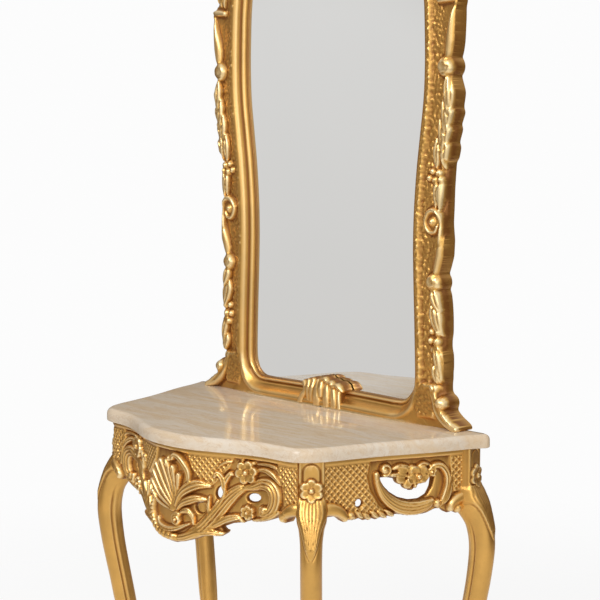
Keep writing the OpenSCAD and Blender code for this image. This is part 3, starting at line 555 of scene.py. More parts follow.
tablePlan = {"width": 1000, "depth": 520, "height": 800, "slab": 30, "overhang": 17, "back": 258.5}
edgeKnots = [(0, 1), (0.096, 0.994), (0.176, 0.975), (0.25, 0.948), (0.33, 0.913), (0.412, 0.881),
             (0.486, 0.862), (0.56, 0.854), (0.616, 0.85), (0.668, 0.833), (0.712, 0.79), (0.742, 0.733),
             (0.764, 0.665), (0.786, 0.588), (0.816, 0.496), (0.858, 0.394), (0.89, 0.321), (0.926, 0.231),
             (0.958, 0.131), (0.988, 0.058), (1, 0.035), (0.992, 0.012), (0.964, 0)]
rightEdge = smoothCurve([(x * tablePlan["width"] / 2, tablePlan["back"] - y * tablePlan["depth"])
                         for x, y in edgeKnots], 10)
edgeLength = runLength(rightEdge)
edgeRun = np.gradient(rightEdge, edgeLength, axis=0)
edgeRun[0] = (1, 0)
edgeRun /= np.hypot(edgeRun[:, 0], edgeRun[:, 1])[:, None]


def edgePlace(s, inset):
    # the point at arc length s, moved in from the marble's edge
    side, s = np.sign(s) + (s == 0), np.abs(s)
    (x, y), (rx, ry) = trace(s, edgeLength, rightEdge), trace(s, edgeLength, edgeRun)
    size = np.hypot(rx, ry)
    return side * (x - inset * ry / size), y + inset * rx / size


def apronPlace(pos, high):
    x, y = edgePlace(pos[:, 0], tablePlan["overhang"] - high)
    return np.stack([x, y, tablePlan["height"] + pos[:, 1]], 1)


def makeMarble():
    # rounded upper arris and a small lower one, all round; the back edge is straight
    profile = [(3, 0), (0.7, 1.2), (0, 4), (0, 15), (0.25, 18.5), (1.1, 21.8), (2.6, 24.6), (4.8, 27),
               (7.6, 28.8), (10.6, 29.8), (14, 30)]
    s = np.linspace(-edgeLength[-1], edgeLength[-1], 361)
    rings = []
    for inset, up in profile:
        x, y = edgePlace(s, inset)
        rings.append(np.stack([x, np.minimum(y, tablePlan["back"] - min(inset, 3)),
                               np.full(len(s), tablePlan["height"] - tablePlan["slab"] + up)], 1))
    n, points, faces = len(s), np.vstack(rings), []
    for j in range(len(rings) - 1):
        for k in range(n):
            a, b = j * n + k, j * n + (k + 1) % n
            faces.append((a, b, b + n, a + n))
    faces += [tuple(range(n)), tuple(range((len(rings) - 1) * n, len(rings) * n))]
    slab = finishPiece("marbleSlab", points, faces, marble, sharp=35)
    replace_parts(slab, "marble_top")


makeMarble()

# front apron

apronPlan = {"cell": 1.5, "top": -30, "ground": -4.0, "thick": -24, "fillet": 13, "lip": 3, "flat": 4,
             "thin": 0.42}
frontApron = {"halfLength": 349, "bottom": -262, "least": -13, "spread": 26}

frontContour = [(-13, -250), (11, -250), (34, -243), (62, -233), (91, -224), (123, -219), (146, -219),
                (157, -212), (152, -205), (146, -199), (157, -194), (173, -187), (196, -183), (213, -177),
                (234, -168), (254, -166), (274, -161), (288, -153), (294, -161), (304, -165), (314, -161),
                (322, -153), (335, -150), (349, -152), (361, -157)]
leftContour = [(-13, -250), (-31, -249), (-57, -238), (-75, -229), (-86, -225), (-97, -223), (-123, -219),
               (-146, -219), (-157, -212)]

# fan of slim lobes that rises from the eye: tip, bend, half width at the tip
fanLobes = [((-74, -146), (-53, -165), 7), ((-77, -124), (-43, -152), 8), ((-68, -102), (-33, -140), 8.5),
            ((-53, -84), (-22, -128), 9), ((-33, -73), (-9, -120), 9), ((-11, -71), (4, -117), 8.5),
            ((11, -81), (15, -119), 8), ((31, -95), (26, -127), 7.5)]

# right-hand half: x, depth below the marble's top, half width, height above the ground
spray = [
    # big acanthus stem and its blades
    ([(45, -231, 10, 6), (92, -208, 17, 10), (129, -174, 18, 13), (161, -136, 17, 13), (187, -112, 13, 12),
      (212, -101, 7, 9)], 5),
    ([(89, -206, 7, 9), (119, -177, 9, 12), (141, -146, 9, 13), (154, -112, 8, 13), (151, -88, 8, 13),
      (139, -78, 7, 13), (132, -87, 4, 11)], 2),
    ([(152, -112, 5, 11), (160, -90, 7, 12), (171, -76, 6, 12), (177, -79, 3, 10)], 2),
    ([(120, -177, 5, 9), (116, -153, 6, 10), (118, -133, 4, 8)], 0),
    ([(104, -206, 7, 8), (135, -191, 9, 11), (164, -176, 9, 12), (188, -171, 7, 12), (199, -179, 4, 11)], 3),
    # lower leaf
    ([(7, -240, 8, 6), (45, -231, 10, 9), (85, -216, 10, 10), (120, -211, 9, 10), (144, -212, 6, 9),
      (157, -208, 2, 7)], 3),
    # C scroll to the right of the big flower, in nested ribs
    ([(206, -106, 6, 9), (226, -99, 10, 11), (247, -91, 14, 13), (267, -95, 17, 13), (278, -112, 18, 13),
      (275, -134, 16, 13), (262, -151, 12, 13), (246, -159, 8, 13)], 4),
    # leaves above the C scroll
    ([(230, -64, 4, 7), (252, -61, 7, 9), (274, -70, 7, 9), (292, -87, 3, 6)], 2),
    ([(234, -50, 3, 6), (256, -48, 5, 7), (279, -52, 4, 6), (294, -63, 2, 4)], 2),
    # leaves between the lattice and the big flower
    ([(173, -50, 3, 7), (160, -52, 5, 8), (148, -58, 4, 7), (139, -67, 2, 5)], 0),
    # foliage that joins the small flower and the bracket
    ([(223, -174, 4, 8), (245, -169, 5, 9), (270, -159, 5, 9), (288, -147, 3, 7)], 2),
]
bracketRow = [(366, -139, 15, 10), (344, -134, 15, 13), (322, -139, 14, 15), (304, -151, 11, 16),
              (303, -158, 9, 15)]


def apronBoard(first, last, bottom):
    return Relief(grid((first, last), (bottom, apronPlan["top"]), apronPlan["cell"]), apronPlan["ground"])


def finishApron(name, relief, size):
    # eased edges, the plain fillet under the marble, and a back that is thin round the openings
    plan = apronPlan
    relief.high = soften(relief.high, 1)
    relief.roundRim(4, 4)
    z = relief.pos[..., 1]
    drop = ((plan["top"] - plan["flat"] - z) / (plan["fillet"] - plan["flat"])).clip(0, 1) ** 3
    relief.high = np.where(z > plan["top"] - plan["fillet"], plan["lip"] - plan["lip"] * drop, relief.high)
    return carvePiece(name, relief, apronPlace, relief.thinned(plan["thick"], size["least"], size["spread"]),
                      plan["thin"])


def frontCarving():
    size, ground = frontApron, apronPlan["ground"]
    relief = apronBoard(-size["halfLength"], size["halfLength"], size["bottom"])
    left = leftContour + mirrorRows(frontContour)[8:]
    relief.board([(363, -25)] + frontContour[::-1] + left[1:] + [(-363, -25)])
    for sign, flip in bothSides():
        relief.level(flip([(55, -40), (180, -40), (167, -66), (133, -101), (116, -113), (95, -100),
                           (68, -74)]), 0.5)
        relief.level(flip([(286, -40), (361, -40), (361, -150), (319, -148), (301, -129), (297, -91),
                           (283, -66)]), 0.5)
        relief.lattice(flip([(59, -45), (171, -45), (162, -66), (131, -99), (117, -108), (97, -98),
                             (70, -72)]))
        relief.lattice(flip([(290, -45), (357, -45), (357, -127), (324, -130), (306, -123), (301, -91),
                             (288, -66)]))
        for rows, flutes in spray:
            relief.stroke(flip(rows), ground, flutes=flutes, cut=0.45)
        relief.volute(sign * 252, -149, 15, 14, ground, 90 + 60 * sign, 1.35, sign)
        relief.boss(sign * 251, -148, 8.5, 12, ground + 3)
        relief.stroke(flip(bracketRow), ground, shape=2.2)
        relief.boss(sign * 304, -154, 10.5, 15, ground)
        relief.blossom(sign * 208, -70, 27, 14, ground + 1.5, turn=12 * sign)
        relief.blossom(sign * 210, -158, 17.5, 13, ground + 1, turn=30)
        for x, y in ((198, -43), (223, -49)):
            relief.boss(sign * x, y, 6, 7, ground)
    # the fan, its ribs and its scrolls
    eye = (32, -185)
    for tip, bend, wide in fanLobes:
        relief.stroke([(eye[0] - 8, eye[1] + 4, 2.5, 6), (*bend, wide * 0.62, 9), (*tip, wide, 14),
                       (tip[0] * 1.03 - 1, tip[1] - 4, wide * 0.8, 13)], ground, flutes=2, cut=0.28)
    for rows in ([(17, -163, 5, 9), (36, -136, 11, 13), (62, -117, 14, 14), (91, -107, 12, 14),
                  (120, -108, 5, 10)],
                 [(22, -173, 5, 9), (39, -157, 9, 12), (62, -146, 11, 13), (87, -139, 9, 13),
                  (112, -139, 4, 9)],
                 [(30, -179, 4, 9), (45, -172, 7, 11), (60, -170, 8, 12), (72, -180, 7, 12),
                  (75, -197, 4, 9)]):
        relief.stroke(rows, ground, flutes=3, cut=0.4)
    relief.stroke([(9, -59, 6, 13), (17, -50, 7, 15), (32, -53, 7.5, 15), (49, -65, 8, 15), (61, -82, 8, 14),
                   (64, -102, 6, 13)],
                  ground, flutes=2, cut=0.25)
    relief.boss(0, -60, 8.5, 15, ground)
    relief.boss(-10, -73, 7.5, 15, ground)
    relief.volute(22, -194, 19, 15, ground, 60, 1.5)
    # ribbed C scroll down the fan's left side, and the foot of the carving
    relief.stroke([(-65, -153, 5, 10), (-77, -171, 8, 13), (-81, -193, 9.5, 14), (-71, -213, 10.5, 15),
                   (-47, -227, 11, 15), (-19, -234, 11.5, 15), (13, -236, 9, 13)], ground, beads=13)
    relief.stroke([(-53, -201, 3, 8), (-43, -213, 6, 12), (-21, -220, 8, 13), (7, -218, 8, 13),
                   (36, -209, 6, 12), (62, -199, 3, 9)],
                  ground, flutes=2)
    for rows in ([(-87, -175, 3, 7), (-83, -168, 6, 9), (-97, -154, 5, 9), (-104, -139, 3, 7)],
                 [(-83, -205, 3, 7), (-80, -198, 6, 10), (-101, -184, 5, 10), (-110, -167, 3, 7)]):
        relief.stroke(rows, ground, flutes=2)
    for x, y, rx, ry, lean in ((142, -122, 9, 14, -20), (91, -161, 14, 11, 0), (221, -126, 15, 9, 12)):
        relief.hole(x, y, rx, ry, lean)
        relief.hole(-x, y, rx, ry, -lean)
    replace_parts(finishApron("frontApronCarving", relief, size),
                "front_apron", "front_cartouche", "apron_flowers", "knee_brackets")


frontCarving()

# side aprons

sideApron = {"first": 414, "last": 758, "bottom": -180, "least": -9, "spread": 62}

sideContour = [(412, -157), (431, -154), (447, -154), (458, -161), (468, -168), (478, -165), (489, -167),
               (504, -164), (514, -170), (531, -166), (543, -171), (556, -166), (570, -166), (590, -163),
               (613, -167), (637, -169), (662, -166), (680, -159), (693, -158), (703, -162), (712, -170),
               (721, -170), (729, -162), (735, -155), (749, -152), (768, -152), (784, -156)]
halfMoon = [(552, -81), (559, -96), (574, -113), (594, -126), (617, -133), (643, -133), (662, -125),
            (673, -109), (679, -87), (665, -85), (654, -97), (637, -99), (629, -113), (617, -113), (609, -99),
            (596, -97), (586, -85), (569, -81)]


def sideCarving(sign, name, *nodes):
    size, ground = sideApron, apronPlan["ground"]
    relief = apronBoard(size["first"], size["last"], size["bottom"])
    relief.board([(407, -25)] + sideContour + [(785, -25)])
    for outline in ([(412, -40), (529, -40), (522, -74), (529, -104), (549, -139), (566, -153), (554, -159),
                     (483, -154), (449, -147), (412, -139)],
                    [(717, -40), (784, -40), (784, -128), (729, -124), (721, -98)]):
        relief.level(outline, 0.5)
    relief.lattice([(417, -45), (526, -45), (520, -74), (526, -104), (545, -139), (558, -151), (549, -155),
                    (487, -151), (449, -141), (417, -133)])
    relief.lattice([(721, -45), (781, -45), (781, -120), (733, -120), (723, -98)])
    strokes = [
        # the crescent under the half moon
        ([(542, -71, 7, 10), (546, -93, 9, 12), (562, -121, 13, 14), (591, -143, 16, 15), (624, -151, 17, 15),
          (654, -147, 14, 15), (671, -139, 8, 13)], 5),
        # the scroll that stands at its right end
        ([(689, -153, 5, 10), (701, -132, 7, 12), (710, -106, 8, 13), (709, -82, 8.5, 14),
          (695, -63, 8.5, 14), (677, -61, 8, 14), (666, -71, 6, 13), (671, -81, 4, 12)], 2),
        ([(693, -151, 3, 8), (710, -136, 6, 11), (719, -110, 5, 10), (722, -86, 2, 6)], 2),
        # bracket at the rear leg
        ([(788, -141, 15, 10), (766, -135, 15, 13), (742, -138, 14, 15), (724, -148, 12, 16),
          (719, -158, 9, 15)], 0),
        # bracket at the front leg
        ([(406, -141, 15, 10), (428, -135, 15, 13), (450, -141, 14, 15), (464, -153, 11, 16),
          (466, -158, 9, 15)], 0),
        # foliage over the half moon
        ([(574, -63, 3, 8), (592, -58, 7, 11), (609, -61, 8, 12), (621, -69, 5, 11)], 3),
        ([(566, -73, 3, 8), (584, -75, 6, 11), (601, -77, 6, 12), (613, -79, 4, 11)], 2),
        ([(667, -59, 3, 8), (652, -55, 6, 11), (639, -61, 6, 12)], 2),
    ]
    for rows, flutes in strokes:
        relief.stroke(rows, ground, flutes=flutes, cut=0.3 if flutes > 3 else 0.35)
    # ragged leaves along the lower edge
    for x, y, lean in ((483, -156, -14), (502, -156, -12), (519, -161, -8), (537, -159, -4), (554, -161, 2),
                       (570, -159, 6)):
        relief.stroke([(x - 8, y + 8, 2.5, 7), (x, y + 2, 6, 10), (x + 8 + lean * 0.2, y - 4, 4.5, 9)],
                      ground, flutes=2)
    relief.volute(561, -62, 17, 15, ground, -100)
    relief.boss(559, -63, 9, 15, ground + 1)
    relief.boss(684, -144, 10, 15, ground)
    relief.boss(737, -160, 12.5, 16, ground)
    relief.boss(480, -154, 10.5, 15, ground)
    relief.blossom(638, -82, 27, 15, ground + 1, petals=5, turn=-90)
    relief.blossom(669, -74, 13, 12, ground + 2, petals=5, turn=20)
    relief.pierce(halfMoon)
    for i in range(5):
        # petals that hang into the opening
        a = math.radians(-90 + 72 * i)
        relief.boss(612 + 17 * math.cos(a), -80 + 17 * math.sin(a), 11.5, 3, ground + 7)
    relief.hole(502, -130, 8, 8.5)
    relief.pos = relief.pos * (sign, 1)
    relief.openings = [spot * (sign, 1) for spot in relief.openings]
    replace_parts(finishApron(name, relief, size), *nodes)


for sign, side in ((1, "right"), (-1, "left")):
    sideCarving(sign, "sideApronCarving" + side.title(), "side_apron_" + side, "hanging_flowers",
                "knee_brackets")

# legs

legPlan = {"block": 57, "blockHeight": 128, "knee": 76, "width": 46.5, "ankle": 36, "glide": 4, "top": 770,
           "front": (324.862, -119.502, 45), "rear": (446, 221.5, 108), "around": 120, "thin": 0.42,
           "flutes": 9}
kneeLeaf = [(-233, 1.5), (-228, 5), (-218, 9.5), (-203, 14), (-188, 17.5), (-172, 21.5), (-158, 27),
            (-146, 33), (-134, 35), (-120, 32), (-110, 28)]


def legStations():
    half, w, a = legPlan["block"] / 2, legPlan["width"], legPlan["ankle"]
    # share of the height below the block, outer and inner reach, half width, squareness
    return [(1.09, 0.37, -0.375, half, 9), (1.07, 0.42, -0.375, half + 1, 7),
            (1.045, 0.56, -0.375, half + 3.5, 4), (1.015, 0.7, -0.37, half + 4, 3.4),
            (0.995, 0.77, -0.36, half + 3, 3.2), (0.975, 0.83, -0.12, half - 1, 3.0),
            (0.94, 0.915, 0.1, w / 2 + 1.2, 2.7), (0.91, 0.965, 0.185, w / 2 + 0.3, 2.5),
            (0.87, 1, 0.235, w / 2, 2.3), (0.82, 0.985, 0.225, w / 2, 2.05), (0.74, 0.89, 0.155, w / 2, 2.05),
            (0.67, 0.78, 0.06, w / 2, 2.05), (0.59, 0.64, -0.06, w / 2, 2.05),
            (0.5, 0.495, -0.195, w / 2, 2.05), (0.4, 0.29, -0.31, w / 2, 2.05),
            (0.3, 0.12, -0.42, a * 0.56, 2.3), (0.2, -0.01, -0.5, a / 2, 2.3),
            (0.12, -0.03, -0.52, a / 2, 2.3), (0.07, 0.06, -0.48, a * 0.55, 2.3),
            (0.035, 0.26, -0.4, a * 0.66, 2.3), (0.012, 0.32, -0.32, a * 0.66, 2.3),
            (0, 0.24, -0.28, a * 0.56, 2.4)]


def legCarving(relief):
    plan, pos = legPlan, relief.pos
    # arched panel inside a groove, between two raised strips
    for strip in (-25, 25):
        relief.stroke([(strip, -31, 3, 1.8), (strip, -122, 3, 1.8)], shape=4, groove=0)
    for half, high in ((20.5, -2.6), (17.5, 0.8)):
        arch = [(-half * math.cos(t), -54 + half * math.sin(t)) for t in np.linspace(0, math.pi, 13)]
        relief.level([(-half, -110)] + arch + [(half, -110)], high, soft=1.8)
    relief.blossom(0, -92, 25.5, 11, -1, turn=90)
    # knee leaf: flutes that spread under the rosette and meet in a point below
    rows = np.array(kneeLeaf, float)
    level, above = pos[..., 1], pos[..., 1] - rows[0, 0]
    low = (above > 0) & (level < rows[-1, 0])
    half = np.interp(level, rows[:, 0], rows[:, 1])
    q = pos[..., 0] / half
    fluted = np.abs(np.sin(math.pi * plan["flutes"] * (q + 1) / 2)) ** 0.6
    flute = 1.3 + 2.7 * fluted * ((above - 8) / 16).clip(0, 1)
    blade = flute * (1 - np.abs(q).clip(0, 1) ** 8) ** 0.5 * (above / 5).clip(0, 1) ** 0.5
    relief.high = np.where(low & (np.abs(q) < 1), np.maximum(relief.high, blade), relief.high)
    rim = low & (np.abs(q) >= 1) & (np.abs(q) * half < half + 2.5) & (level < -150)
    relief.high = np.where(rim, relief.high - 1.0, relief.high)
    # small leaf on the toe
    for k in (-1, 0, 1):
        relief.stroke([(k * 9, -748, 3.2, 2.2), (k * 10, -770, 4.2, 3), (k * 6, -788, 3, 2)], shape=2.2,
                      groove=0.5)


def carveLeg():
    plan = legPlan
    blockBottom = plan["top"] - plan["blockHeight"]
    run = blockBottom - plan["glide"]
    stations = smoothCurve(legStations()[::-1], 8)
    upper = np.arange(blockBottom - 128, plan["top"] + 0.1, 1.6)
    lower = np.linspace(plan["glide"], upper[0], 90, endpoint=False)
    z = np.concatenate([lower, upper])
    share = (z - plan["glide"]) / run
    outer, inner, wide, square = (np.interp(share, stations[:, 0], stations[:, k]) for k in (1, 2, 3, 4))
    above = share > 1.09
    outer[above], inner[above], wide[above], square[above] = 0.375, -0.375, plan["block"] / 2, 10
    around = np.linspace(0, 2 * math.pi, plan["around"], endpoint=False)
    cos, sin = np.cos(around)[None], np.sin(around)[None]
    power = square[:, None]
    s = (np.abs(cos) ** power + np.abs(sin) ** power) ** (-1 / power)
    mid, deep = (outer + inner)[:, None] / 2 * plan["knee"], (outer - inner)[:, None] / 2 * plan["knee"]
    x, y = s * cos * wide[:, None], -s * sin * deep - mid
    runX, runY = np.roll(x, -1, 1) - np.roll(x, 1, 1), np.roll(y, -1, 1) - np.roll(y, 1, 1)
    size = np.hypot(runX, runY)
    normalX, normalY = -runY / size, runX / size
    facing = sin * np.ones_like(x) > 0.02
    # painted by distance across the face and depth below the marble's top
    down = np.repeat(z[:, None] - tablePlan["height"], len(around), 1)
    relief = Relief(np.stack([np.where(facing, x, 900), down], -1))
    legCarving(relief)
    high = soften(relief.high, 1)
    # shaft: a groove and a bead along both inner corners
    shaft = ((z - 60) / 40).clip(0, 1) * ((blockBottom - 26 - z) / 40).clip(0, 1)

    def cornerLine(spots, wide, tall):
        away = np.min([np.abs((np.degrees(around) - spot + 180) % 360 - 180) for spot in spots], 0)
        return tall * (1 - (away / wide).clip(0, 1) ** 2)

    high = high + shaft[:, None] * (cornerLine((212, 328), 9.0, 1.4) - cornerLine((196, 344), 5.5, 2.4))[None]
    x, y = x + normalX * high, y + normalY * high
    rows, cols = x.shape
    points = np.stack([x, y, np.repeat(z[:, None], cols, 1)], -1).reshape(-1, 3)
    i, j = np.meshgrid(np.arange(rows - 1), np.arange(cols), indexing="ij")
    nextJ = (j + 1) % cols
    quads = np.stack([i * cols + j, i * cols + nextJ, (i + 1) * cols + nextJ, (i + 1) * cols + j], -1)
    faces = [tuple(q) for q in quads.reshape(-1, 4)]
    faces += [tuple(range(cols)), tuple(range((rows - 1) * cols, rows * cols))]
    # painted shade in the leg's hollows and painted highlight on its ridges
    return points, faces, hollowOf(high, 8, 1.7).ravel()


def makeLegs():
    points, faces, hollow = carveLeg()
    for spot in ("front", "rear"):
        x, y, turn = legPlan[spot]
        c, s = math.cos(math.radians(turn)), math.sin(math.radians(turn))
        across, deep = points[:, 0] * c - points[:, 1] * s + x, points[:, 0] * s + points[:, 1] * c + y
        for sign, side in ((1, "right"), (-1, "left")):
            placed = np.stack([sign * across, deep, points[:, 2]], 1)
            leg = finishPiece("leg" + spot.title() + side.title(), placed, faces, gold, hollow,
                              legPlan["thin"])
            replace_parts(leg, "leg_" + spot + "_" + side, "leg_rosettes")


makeLegs()

# mirror frame: one moulding from the middle of the foot rail round to the crown

framePlan = {"halfOpening": 304, "rail": 44, "opening": 1160, "width": 84, "glass": 14, "gap": 0.3,
             "rebate": 12, "alongCell": 2.4, "acrossCell": 1.7, "reach": 132, "crowding": 3.6,
             "cornerAt": 268, "cornerHalf": 32, "thin": 0.36, "cornerShare": 0.048, "corner": 43,
             "ornament": 32.0, "archFrom": 380, "outerRim": 14}

openingShares = [(0, 0.002), (0.395, 0.001), (0.74, 0), (0.83, 0.004), (0.882, 0.016), (0.915, 0.03),
                 (0.925, 0.048), (0.923, 0.09), (0.914, 0.16), (0.902, 0.237), (0.895, 0.306), (0.901, 0.375),
                 (0.924, 0.453), (0.957, 0.522), (0.99, 0.591), (1, 0.651), (0.997, 0.711), (0.984, 0.78),
                 (0.95, 0.841), (0.882, 0.893), (0.763, 0.928), (0.609, 0.945), (0.428, 0.966), (0.23, 0.992),
                 (0, 1)]


def openingLine():
    plan, step = framePlan, 0.2
    line = smoothCurve([(x * plan["halfOpening"], plan["rail"] + z * plan["opening"])
                        for x, z in openingShares], 12)
    length = runLength(line)
    # rows lie closer round the corner, where they fan out
    fine = np.arange(0, length[-1], step)
    crowd = 1 + plan["crowding"] * np.exp(-((fine - plan["cornerAt"]) / plan["cornerHalf"]) ** 4)
    count = np.concatenate([[0], np.cumsum(crowd[1:] * step)])
    even = np.append(np.interp(np.arange(0, count[-1], plan["alongCell"]), count, fine), length[-1])
    points = np.stack(trace(even, length, line), 1)
    run = np.gradient(points, axis=0)
    for _ in range(6):
        run[1:-1] = (run[:-2] + 2 * run[1:-1] + run[2:]) / 4
    run[0], run[-1] = (1, 0), (-1, 0)
    run /= np.hypot(run[:, 0], run[:, 1])[:, None]
    return even, points, np.stack([run[:, 1], -run[:, 0]], 1)


lineLength, linePoints, lineOut = openingLine()
crownLength = lineLength[-1]
lowerHalf = slice(0, len(linePoints) // 2)
cornerTop = framePlan["cornerShare"] * framePlan["opening"] + framePlan["rail"]
cornerEnd = float(np.interp(cornerTop, linePoints[lowerHalf, 1], lineLength[lowerHalf]))


def stileSpot(z, u):
    # a point beside the opening at height z above the marble, u outwards
    stile = slice(*np.searchsorted(lineLength, (cornerEnd, crownLength - 330)))
    return lineSpot(np.interp(z, linePoints[stile, 1], lineLength[stile]), u)


def lineSpot(length, u):
    (x, z), (nx, nz) = trace(length, lineLength, linePoints), trace(length, lineLength, lineOut)
    return x + u * nx, z + u * nz


stileProfile = [(0, 14.5), (0.6, 18.5), (2, 22), (4.5, 25), (8, 27), (10.5, 27.6), (11.6, 26.4), (12.6, 26.2),
                (13.4, 28), (14.4, 32.5), (16, 36.6), (18.5, 40), (22, 43), (26, 44.8), (30, 45), (34, 44.6),
                (36, 43.2), (38, 40.5), (40, 38), (42, 36.6), (50, 35.4), (62, 33.6), (66, 32.6), (70, 32.4),
                (84, 32.4), (140, 32.4)]
railProfile = [(0, 22), (0.8, 26), (2.6, 29.4), (5, 30.4), (7.4, 29), (8.4, 25.5), (10.4, 25), (12, 27),
               (13.6, 30.6), (17, 31.2), (20, 32.6), (24, 37.4), (28, 43.6), (32, 48), (36, 50), (39.6, 49.6),
               (41.2, 47.6), (41.8, 49.4), (44, 50.4), (60, 50.4), (140, 50.4)]

# reach of the frame's outer outline beyond the opening, by height above the marble
stileReach = [(60, 104), (91, 101), (120, 100), (133, 102), (160, 102), (172, 98), (190, 98), (206, 102),
              (240, 103), (270, 102), (296, 99), (306, 92), (338, 92), (350, 98), (380, 108), (418, 110),
              (459, 105), (495, 105), (540, 103), (585, 102), (606, 101), (610, 107), (640, 110), (644, 103),
              (680, 110), (684, 103), (714, 112), (718, 104), (748, 108), (772, 97), (784, 92), (814, 92),
              (826, 98), (850, 103), (900, 107), (924, 108), (928, 112), (946, 112), (950, 104), (985, 98),
              (1010, 100)]
archReach = [(380, 100), (350, 104), (330, 96), (300, 92), (262, 104), (240, 96), (200, 92), (160, 98),
             (120, 90), (60, 92), (0, 92)]

toeOutline = [(200, -20), (437, -20), (437.5, 2), (434, 8), (427, 13), (419, 18), (408, 25), (398, 31),
              (394, 37), (396, 43), (400, 50), (400, 58), (396, 66), (388, 71), (380, 77), (380, 92),
              (381.5, 125), (200, 125)]


def leafRows(start, end, wide, tall, bend=0.0):
    # a leaf blade from its root to its tip, bowed sideways
    (x0, z0), (x1, z1) = start, end
    nx, nz = -(z1 - z0), (x1 - x0)
    size = math.hypot(nx, nz)
    nx, nz = nx / size * bend, nz / size * bend
    return [(x0, z0, wide * 0.45, tall * 0.8),
            (x0 * 0.68 + x1 * 0.32 + nx, z0 * 0.68 + z1 * 0.32 + nz, wide, tall),
            (x0 * 0.34 + x1 * 0.66 + nx, z0 * 0.34 + z1 * 0.66 + nz, wide * 0.82, tall * 0.95),
            (x1, z1, wide * 0.16, tall * 0.6)]


def frameCarving():
    plan = framePlan
    u = np.arange(0, plan["reach"] + 0.1, plan["acrossCell"])
    wider = 1 + 0.45 * np.exp(-((lineLength - plan["cornerAt"]) / 40) ** 4)
    width = u[None] * wider[:, None]
    pos = linePoints[:, None] + width[..., None] * lineOut[:, None]
    rail = ((cornerEnd - 18 - lineLength[:, None]) / 70).clip(0, 1)
    rail = rail * rail * (3 - 2 * rail)
    depth = (1 - rail) * np.interp(width, *zip(*stileProfile)) + rail * np.interp(width, *zip(*railProfile))
    relief = Relief(pos, depth)
    # outline: by height on the stile, by length from the crown on the arch
    height = linePoints[:, 1]
    reach = np.interp(height, *zip(*stileReach))
    left = crownLength - lineLength
    reach = np.where(left < plan["archFrom"], np.interp(left, *zip(*archReach[::-1])), reach)
    relief.wood = np.maximum(relief.wood, reach[:, None] - width)
    x, z = pos[..., 0], pos[..., 1]
    toe = np.where(x < 260, 60.0, outlineReach(pos.reshape(-1, 2), toeOutline).reshape(width.shape))
    relief.wood = np.where((lineLength[:, None] < cornerEnd + 60) & (z < 104), toe, relief.wood)
    relief.wood = soften(relief.wood, 2)
    # ground of the ornament: loose florets between the ridge and the leaves
    relief.level([(303, 96), (300, 62), (303, 36), (310, 18), (360, 18), (368, 60), (366, 96)],
                 plan["corner"], soft=6)
    band = [lineSpot(d, 29) for d in np.arange(cornerEnd - 4, crownLength - 4, 8)]
    band += [lineSpot(d, 80) for d in np.arange(crownLength - 4, cornerEnd - 4, -8)]
    relief.lace(band + [(368, 60), (360, 20), (314, 20), (306, 36), (304, 62)], 6.6, 2.7)
    ornaments(relief, plan["ornament"])
    relief.high = soften(relief.high, 1)
    rim = (width > 46) & (relief.wood < plan["outerRim"]) & (z > 34)
    relief.high[rim] -= 11 * (1 - relief.wood[rim] / plan["outerRim"]).clip(0, 1) ** 2
    # stands on the marble
    relief.wood = np.minimum(relief.wood, z - 0.2)
    return relief, width


